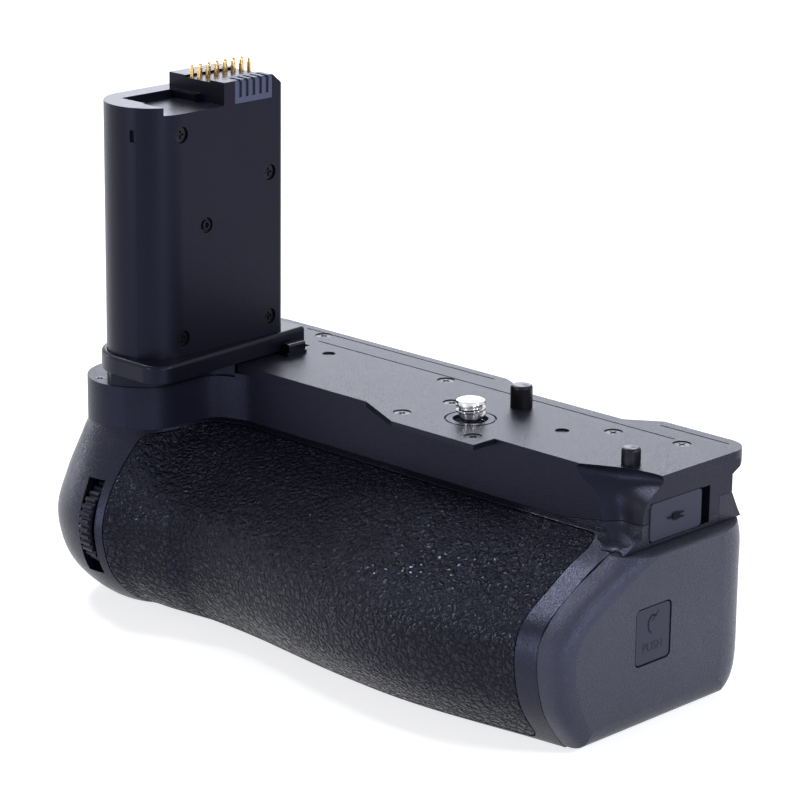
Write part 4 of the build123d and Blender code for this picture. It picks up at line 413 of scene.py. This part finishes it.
def turned_metal(name, clean, tarnished, rough, ring, depth):
    """Metal with lathe rings and a little tarnish."""
    material, tree, shader, place = start_material(name)
    out = place_group(tree, turning_marks, place, ring_size=ring)
    two_tone(tree, shader, out["Tarnish"], clean, tarnished)
    roughness = spread(tree, out["Tarnish"], 0.0, 1.0, rough, rough * TARNISH_ROUGHENING)
    tree.links.new(roughness, shader.inputs["Roughness"])
    shader.inputs["Metallic"].default_value = 1.0
    bump(tree, shader, out["Height"], depth, METAL_EDGE)
    return material


def lacquered_board(name, mask_green, copper_green):
    """Circuit board: lacquer over tracks that show as paler lines."""
    material, tree, shader, place = start_material(name)
    tracks = add_node(
        tree, "ShaderNodeTexBrick",
        {
            "Vector": place, "Scale": TRACK_SCALE,
            "Mortar Size": TRACK_WIDTH, "Mortar Smooth": TRACK_SOFTNESS,
        },
    )
    line = spread(tree, tracks.outputs["Fac"], *TRACK_RANGE, 0.0, 1.0)
    two_tone(tree, shader, line, mask_green, copper_green)
    shader.inputs["Roughness"].default_value = LACQUER_ROUGHNESS
    bump(tree, shader, line, TRACK_HEIGHT)
    return material


# In the plastics, the last value is the share of the tone range that is painted lighter on the
# shiny points as painted glints.
materials = {
    "shell_plastic": moulded_plastic(
        "satin_shell", dark=(0.003, 0.0032, 0.0072), light=(0.007, 0.0073, 0.0145),
        rough=0.3, smooth=0.18, grain=0.3 * MM, depth=0.06 * MM, gloss=0.36, painted_glint_share=0.4,
    ),
    "plate_plastic": moulded_plastic(
        "grained_plate", dark=(0.0062, 0.0062, 0.0125), light=(0.0095, 0.0095, 0.0175),
        rough=0.38, smooth=0.26, grain=0.34 * MM, depth=0.05 * MM, gloss=0.22, painted_glint_share=0.5,
    ),
    "cap_plastic": moulded_plastic(
        "eroded_cap", dark=(0.021, 0.022, 0.032), light=(0.044, 0.045, 0.063),
        rough=0.34, smooth=0.2, grain=0.34 * MM, depth=0.12 * MM, gloss=0.42, painted_glint_share=0.7,
    ),
    "tower_plastic": moulded_plastic(
        "satin_tower", dark=(0.0035, 0.0036, 0.0075), light=(0.005, 0.0052, 0.01),
        rough=0.34, smooth=0.24, grain=0.22 * MM, depth=0.008 * MM, gloss=0.2,
    ),
    "control_plastic": moulded_plastic(
        "ribbed_control", dark=(0.006, 0.006, 0.01), light=(0.009, 0.009, 0.015),
        rough=0.42, smooth=0.3, grain=0.2 * MM, depth=0.006 * MM, gloss=0.3,
    ),
    "inner_plastic": moulded_plastic(
        "inner_moulding", dark=(0.014, 0.014, 0.018), light=(0.02, 0.02, 0.026),
        rough=0.6, smooth=0.5, grain=0.25 * MM, depth=0.01 * MM, gloss=0.3,
    ),
    "comb_plastic": moulded_plastic(
        "blue_grey_comb", dark=(0.065, 0.075, 0.12), light=(0.08, 0.09, 0.14),
        rough=0.45, smooth=0.38, grain=0.15 * MM, depth=0.004 * MM, gloss=0.35,
    ),
    "gloss_black": moulded_plastic(
        "glossy_black", dark=(0.004, 0.004, 0.007), light=(0.006, 0.006, 0.01),
        rough=0.2, smooth=0.14, grain=0.3 * MM, depth=0.001 * MM, gloss=0.5,
    ),
    "cell_case": moulded_plastic(
        "cell_case", dark=(0.02, 0.02, 0.024), light=(0.028, 0.028, 0.033),
        rough=0.5, smooth=0.4, grain=0.22 * MM, depth=0.008 * MM, gloss=0.35,
    ),
    "black_screws": turned_metal(
        "blackened_steel", clean=(0.022, 0.022, 0.028), tarnished=(0.014, 0.014, 0.017),
        rough=0.3, ring=0.1 * MM, depth=0.002 * MM,
    ),
    # Rubber: its dark tone is painted shade in the creases of the grain.
    "grip_rubber": rubber_with_painted_crease_shade(
        "leather_grain_rubber_painted_crease_shade", dark=(0.0002, 0.0002, 0.0006), light=(0.0065, 0.0067, 0.0125),
        rough=0.5, smooth=0.19, cell=1.7 * MM, depth=0.42 * MM, gloss=0.2,
    ),
    "gold_contact": turned_metal(
        "gold_plating", clean=(0.83, 0.6, 0.26), tarnished=(0.7, 0.46, 0.16),
        rough=0.18, ring=0.1 * MM, depth=0.001 * MM,
    ),
    "stainless": turned_metal(
        "turned_stainless", clean=(0.8, 0.8, 0.82), tarnished=(0.6, 0.6, 0.62),
        rough=0.12, ring=0.12 * MM, depth=0.002 * MM,
    ),
    "pinion_brass": turned_metal(
        "sintered_brass", clean=(0.68, 0.5, 0.2), tarnished=(0.5, 0.35, 0.13),
        rough=0.34, ring=0.14 * MM, depth=0.003 * MM,
    ),
    "circuit_board": lacquered_board(
        "lacquered_board", mask_green=(0.01, 0.07, 0.03), copper_green=(0.03, 0.13, 0.06)
    ),
}
door_finish = moulded_plastic(
    "smooth_door", dark=(0.031, 0.032, 0.046), light=(0.036, 0.037, 0.053),
    rough=0.5, smooth=0.44, grain=0.2 * MM, depth=0.004 * MM, gloss=0.25,
)
mark_ink = moulded_plastic(
    "sunken_mark", dark=(0.002, 0.002, 0.005), light=(0.003, 0.003, 0.007),
    rough=0.5, smooth=0.45, grain=0.3 * MM, depth=0.002 * MM, gloss=0.08, edge=0.0,
)
key_ink = moulded_plastic(
    "moulded_key_mark", dark=(0.016, 0.016, 0.026), light=(0.02, 0.02, 0.031),
    rough=0.5, smooth=0.45, grain=0.3 * MM, depth=0.002 * MM, gloss=0.2, edge=0.0,
)

for part in frame["record"]["subparts"]:
    slots = frame["nodes"][part["node"]].data.materials
    slots.clear()
    slots.append(materials[part["material_slot"]])
for name in ("port_door", "latch_key"):
    frame["nodes"][name].data.materials[0] = door_finish


# Modelling helpers

def clear_selection():
    bpy.ops.object.select_all(action="DESELECT")


def choose(obj):
    clear_selection()
    obj.select_set(True)
    bpy.context.view_layer.objects.active = obj


def edit(mode):
    """Opens the active piece for editing with vertices, edges or faces picked singly."""
    bpy.ops.object.mode_set(mode="EDIT")
    bpy.ops.mesh.select_mode(type=mode)


def close_edit():
    bpy.ops.object.mode_set(mode="OBJECT")


def pick_vertices(obj, wanted):
    """Selects the vertices of the active piece whose places a test accepts, in edit mode."""
    close_edit()
    for vertex in obj.data.vertices:
        vertex.select = wanted(vertex.co)
    for edge in obj.data.edges:
        edge.select = all(obj.data.vertices[v].select for v in edge.vertices)
    for face in obj.data.polygons:
        face.select = all(obj.data.vertices[v].select for v in face.vertices)
    edit("VERT")


def pick_faces(obj, wanted):
    """Selects the faces of the active piece whose normals a test accepts, in edit mode."""
    close_edit()
    for vertex in obj.data.vertices:
        vertex.select = False
    for edge in obj.data.edges:
        edge.select = False
    for face in obj.data.polygons:
        face.select = wanted(face.normal)
    edit("FACE")


def bake_place(obj):
    """Puts the piece's place, turn and size into its mesh."""
    choose(obj)
    bpy.ops.object.transform_apply(location=True, rotation=True, scale=True)


def apply_modifier(obj, kind, **settings):
    choose(obj)
    modifier = obj.modifiers.new(kind.lower(), kind)
    for name, value in settings.items():
        setattr(modifier, name, value)
    bpy.ops.object.modifier_apply(modifier=modifier.name)


def tidy_mesh(obj):
    """Merges doubles, closes what is open and points all faces outwards."""
    choose(obj)
    edit("VERT")
    bpy.ops.mesh.select_all(action="SELECT")
    bpy.ops.mesh.remove_doubles(threshold=MERGE_DISTANCE)
    bpy.ops.mesh.select_all(action="DESELECT")
    bpy.ops.mesh.select_non_manifold()
    bpy.ops.mesh.fill_holes(sides=0)
    bpy.ops.mesh.select_all(action="SELECT")
    bpy.ops.mesh.normals_make_consistent(inside=False)
    close_edit()


def finish_piece(obj, name, body, slot, material=None):
    """Names a piece, shades it, gives it its finish and lets it ride on a body."""
    obj.name = name
    obj.data.name = name
    choose(obj)
    bpy.ops.object.shade_smooth_by_angle(angle=math.radians(SMOOTH_ANGLE))
    obj.data.materials.clear()
    obj.data.materials.append(material or materials[slot])
    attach(obj, body)


def join(pieces):
    clear_selection()
    for piece in pieces:
        piece.select_set(True)
    bpy.context.view_layer.objects.active = pieces[0]
    bpy.ops.object.join()
    return pieces[0]


# Screw threads

def upright_cylinder(radius, length, top):
    """A closed cylinder on the Z axis that hangs down from a height."""
    clear_selection()
    bpy.ops.mesh.primitive_cylinder_add(
        vertices=THREAD_STEPS, radius=radius, depth=length, location=(0, 0, top - length / 2)
    )
    cylinder = bpy.context.object
    bake_place(cylinder)
    return cylinder


def thread_ridge(root, crest, bottom, length):
    """Helical ridge between two radii. It is an inner thread if its crest is the smaller."""
    clear_selection()
    bpy.ops.mesh.primitive_plane_add(size=1.0, rotation=(math.radians(90), 0, 0))
    ridge = bpy.context.object
    bake_place(ridge)
    edit("VERT")
    bpy.ops.mesh.select_all(action="SELECT")
    bpy.ops.transform.resize(value=(abs(crest - root), 1.0, THREAD_PITCH * THREAD_FOOT_SHARE))
    outward = 1.0 if crest > root else -1.0
    pick_vertices(ridge, lambda co: co.x * outward > 0)
    bpy.ops.transform.resize(value=(1.0, 1.0, THREAD_CREST_SHARE))
    bpy.ops.mesh.select_all(action="SELECT")
    bpy.ops.transform.translate(value=((root + crest) / 2, 0.0, bottom))
    bpy.ops.mesh.delete(type="ONLY_FACE")
    close_edit()
    turns = max(1, round(length / THREAD_PITCH))
    apply_modifier(
        ridge, "SCREW", axis="Z", screw_offset=length / turns, iterations=turns,
        steps=THREAD_STEPS, render_steps=THREAD_STEPS, use_merge_vertices=False,
    )
    tidy_mesh(ridge)
    return ridge


def camera_screw():
    """The top of the camera screw: a neck, a shank with a ridge, and a chamfered tip."""
    low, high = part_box("camera_screw")
    radius = (high.x - low.x) / 2
    core = radius - THREAD_DEPTH
    thread_low = high.z - SCREW_THREAD_LENGTH
    shank = upright_cylinder(core, SCREW_THREAD_LENGTH, high.z)
    pick_faces(shank, lambda normal: normal.z < -FACING)
    bpy.ops.mesh.inset(thickness=core - SCREW_NECK_RADIUS)
    bpy.ops.mesh.extrude_region_move(
        TRANSFORM_OT_translate={"value": (0, 0, low.z - thread_low)}
    )
    pick_faces(shank, lambda normal: normal.z > FACING)
    bpy.ops.mesh.extrude_region_move(TRANSFORM_OT_translate={"value": (0, 0, -SCREW_TOP_SINK)})
    close_edit()
    tip = upright_cylinder(radius, SCREW_TIP_LENGTH, high.z)
    pick_faces(tip, lambda normal: normal.z > FACING)
    bpy.ops.mesh.bevel(offset=SCREW_TIP_CHAMFER, segments=2, profile=0.5, affect="EDGES")
    pick_faces(tip, lambda normal: normal.z < -FACING)
    bpy.ops.mesh.bevel(
        offset=SCREW_TIP_CHAMFER * THREAD_CREST_SHARE, segments=1, profile=0.5, affect="EDGES"
    )
    close_edit()
    ridge = thread_ridge(
        core * SCREW_ROOT_SHARE, radius,
        thread_low + THREAD_PITCH * SCREW_RIDGE_START, THREAD_PITCH * SCREW_RIDGE_TURNS,
    )
    screw = join([shank, tip, ridge])
    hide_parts("camera_screw")
    finish_piece(screw, "camera_screw_turned", "screw", "stainless")


def tripod_thread():
    low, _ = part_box("tripod_socket")
    ridge = thread_ridge(
        SOCKET_RADIUS * SOCKET_ROOT_SHARE, SOCKET_RADIUS - THREAD_DEPTH,
        low.z + SOCKET_LEAD_IN, SOCKET_THREAD_LENGTH,
    )
    finish_piece(ridge, "tripod_socket_thread", "grip", "stainless")


# Marks

def lay_on_side(obj, x, y, z):
    """Turns a mark that was drawn flat to face +X and read along +Y, and puts it in place."""
    turn = Matrix(((0, 0, 1), (1, 0, 0), (0, 1, 0))).to_4x4()
    obj.matrix_world = Matrix.Translation((x, y, z)) @ turn
    bake_place(obj)


def text_mark(words, height):
    """Words as a thin mesh, drawn flat and centred."""
    clear_selection()
    bpy.ops.object.text_add()
    text = bpy.context.object
    text.data.body = words
    text.data.size = height
    text.data.align_x = "CENTER"
    text.data.align_y = "CENTER"
    text.data.extrude = MARK_THICKNESS / 2
    text.data.resolution_u = LETTER_CURVE_STEPS
    choose(text)
    bpy.ops.object.convert(target="MESH")
    return bpy.context.object


def stroke(points, width):
    """A line through points, drawn flat, as a list of thin bars with round ends."""
    made = []
    for start, end in zip(points, points[1:]):
        centre = (Vector(start) + Vector(end)) / 2
        along = Vector(end) - Vector(start)
        clear_selection()
        bpy.ops.mesh.primitive_cylinder_add(
            vertices=MARK_ROUND_STEPS, radius=width / 2, depth=MARK_THICKNESS
        )
        bar = bpy.context.object
        pick_vertices(bar, lambda co: co.x > CENTRE_GAP)
        bpy.ops.transform.translate(value=(along.length / 2, 0, 0))
        pick_vertices(bar, lambda co: co.x < -CENTRE_GAP)
        bpy.ops.transform.translate(value=(-along.length / 2, 0, 0))
        close_edit()
        bar.rotation_euler.z = math.atan2(along.y, along.x)
        bar.location = (centre.x, centre.y, 0)
        bake_place(bar)
        made.append(bar)
    return made


def door_icon():
    """A plug with its lead: a generic mark for a charging socket."""
    low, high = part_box("port_door")
    size = (high.z - low.z) * ICON_SHARE
    pieces = []
    for width, line in ICON_STROKES:
        pieces += stroke([(x * size, y * size, 0) for x, y in line], width * size)
    icon = join(pieces)
    lay_on_side(icon, high.x, (low.y + high.y) / 2, (low.z + high.z) / 2)
    finish_piece(icon, "door_icon", "door", "cap_plastic", mark_ink)


def key_marks():
    """The word and the turning arrow on the battery key."""
    low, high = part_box("latch_key")
    across = (low.y + high.y) / 2
    height = high.z - low.z
    word = text_mark("PUSH", height * WORD_SIZE)
    lay_on_side(word, high.x, across, low.z + height * WORD_RISE)
    finish_piece(word, "key_word", "key", "gloss_black", key_ink)
    radius = height * ARROW_RADIUS
    arc = [
        (radius * math.cos(angle), radius * ARROW_STRETCH * math.sin(angle), 0)
        for angle in map(math.radians, ARROW_ANGLES)
    ]
    head_start, head_end = (
        (radius * x, radius * y, 0) for x, y in (ARROW_HEAD_START, ARROW_HEAD_END)
    )
    width = radius * ARROW_WIDTH
    arrow = join(stroke(arc, width) + stroke([head_start, arc[0], head_end], width))
    lay_on_side(arrow, high.x, across, low.z + height * ARROW_RISE)
    finish_piece(arrow, "key_arrow", "key", "gloss_black", key_ink)


camera_screw()
tripod_thread()
door_icon()
key_marks()


# Studio

def soft_lamp(name, place, target, size, power):
    """A square soft box that faces a target."""
    lamp = bpy.data.lights.new(name, "AREA")
    lamp.shape = "SQUARE"
    lamp.size = size
    lamp.energy = power
    lamp.color = LAMP_COLOUR
    obj = bpy.data.objects.new(name, lamp)
    bpy.context.collection.objects.link(obj)
    obj.location = place
    obj.rotation_euler = (target - place).to_track_quat("-Z", "Y").to_euler()


def seen_directly(tree):
    """One for rays of the camera, of reflections and through clear things, or else zero."""
    path = tree.nodes.new("ShaderNodeLightPath")
    seen = calculate(
        tree, "MAXIMUM", path.outputs["Is Camera Ray"], path.outputs["Is Glossy Ray"]
    )
    return calculate(tree, "MAXIMUM", seen, path.outputs["Is Transmission Ray"])


def studio_floor():
    """Pale floor that reads white to the camera and keeps the shadow of the grip."""
    clear_selection()
    bpy.ops.mesh.primitive_plane_add(size=FLOOR_SIZE, location=(0, 0, cad_low.z - FLOOR_DROP))
    floor = bpy.context.object
    floor.name = "studio_floor"
    material = bpy.data.materials.new("pale_floor")
    material.use_nodes = True
    tree = material.node_tree
    tree.nodes.clear()
    tone = (FLOOR_TONE, FLOOR_TONE, FLOOR_TONE, 1.0)
    matte = add_node(tree, "ShaderNodeBsdfDiffuse", {"Color": tone})
    strength = calculate(tree, "MULTIPLY", seen_directly(tree), FLOOR_GLOW)
    glow = add_node(tree, "ShaderNodeEmission", {"Strength": strength})
    both = add_node(tree, "ShaderNodeAddShader", {0: matte.outputs[0], 1: glow.outputs[0]})
    output = tree.nodes.new("ShaderNodeOutputMaterial")
    tree.links.new(both.outputs[0], output.inputs["Surface"])
    floor.data.materials.append(material)


def studio_world():
    """White surroundings for the camera and for reflections, and a softer fill for the rest."""
    world = bpy.data.worlds.new("white_surround")
    world.use_nodes = True
    bpy.context.scene.world = world
    tree = world.node_tree
    tree.nodes.clear()
    strength = spread(tree, seen_directly(tree), 0.0, 1.0, WORLD_FILL, 1.0, smooth=False)
    sockets = {"Color": (1.0, 1.0, 1.0, 1.0), "Strength": strength}
    background = add_node(tree, "ShaderNodeBackground", sockets)
    output = tree.nodes.new("ShaderNodeOutputWorld")
    tree.links.new(background.outputs[0], output.inputs["Surface"])


def heading(azimuth, elevation):
    """The way to a point at these angles, given in radians."""
    flat = math.cos(elevation)
    return Vector((math.cos(azimuth) * flat, math.sin(azimuth) * flat, math.sin(elevation)))


def photo_camera():
    """Camera at the photograph's viewpoint, with its focal length and slight roll."""
    turn, pitch, roll = map(math.radians, (CAMERA_AZIMUTH, CAMERA_PITCH, CAMERA_ROLL))
    level = Vector((math.cos(turn), math.sin(turn), 0))
    forward = Vector(
        (-math.sin(turn) * math.cos(pitch), math.cos(turn) * math.cos(pitch), -math.sin(pitch))
    )
    upright = level.cross(forward)
    right = level * math.cos(roll) + upright * math.sin(roll)
    above = upright * math.cos(roll) - level * math.sin(roll)
    data = bpy.data.cameras.new("photo_camera")
    data.sensor_width = SENSOR_WIDTH_MM
    data.lens = SENSOR_WIDTH_MM * CAMERA_FOCUS_PX / PHOTO_WIDTH_PX
    data.clip_start, data.clip_end = CAMERA_CLIP
    camera = bpy.data.objects.new("photo_camera", data)
    bpy.context.collection.objects.link(camera)
    axes = Matrix((right, above, -forward)).transposed().to_4x4()
    camera.matrix_world = Matrix.Translation(CAMERA_PLACE) @ axes
    bpy.context.scene.camera = camera


middle = (cad_low + cad_high) / 2
studio_floor()
studio_world()
for name, azimuth, elevation, size, power in LAMPS:
    way = heading(math.radians(azimuth), math.radians(elevation))
    soft_lamp(name, middle + way * LAMP_DISTANCE, middle, size, power)
photo_camera()
bpy.context.scene.view_settings.view_transform = "Standard"
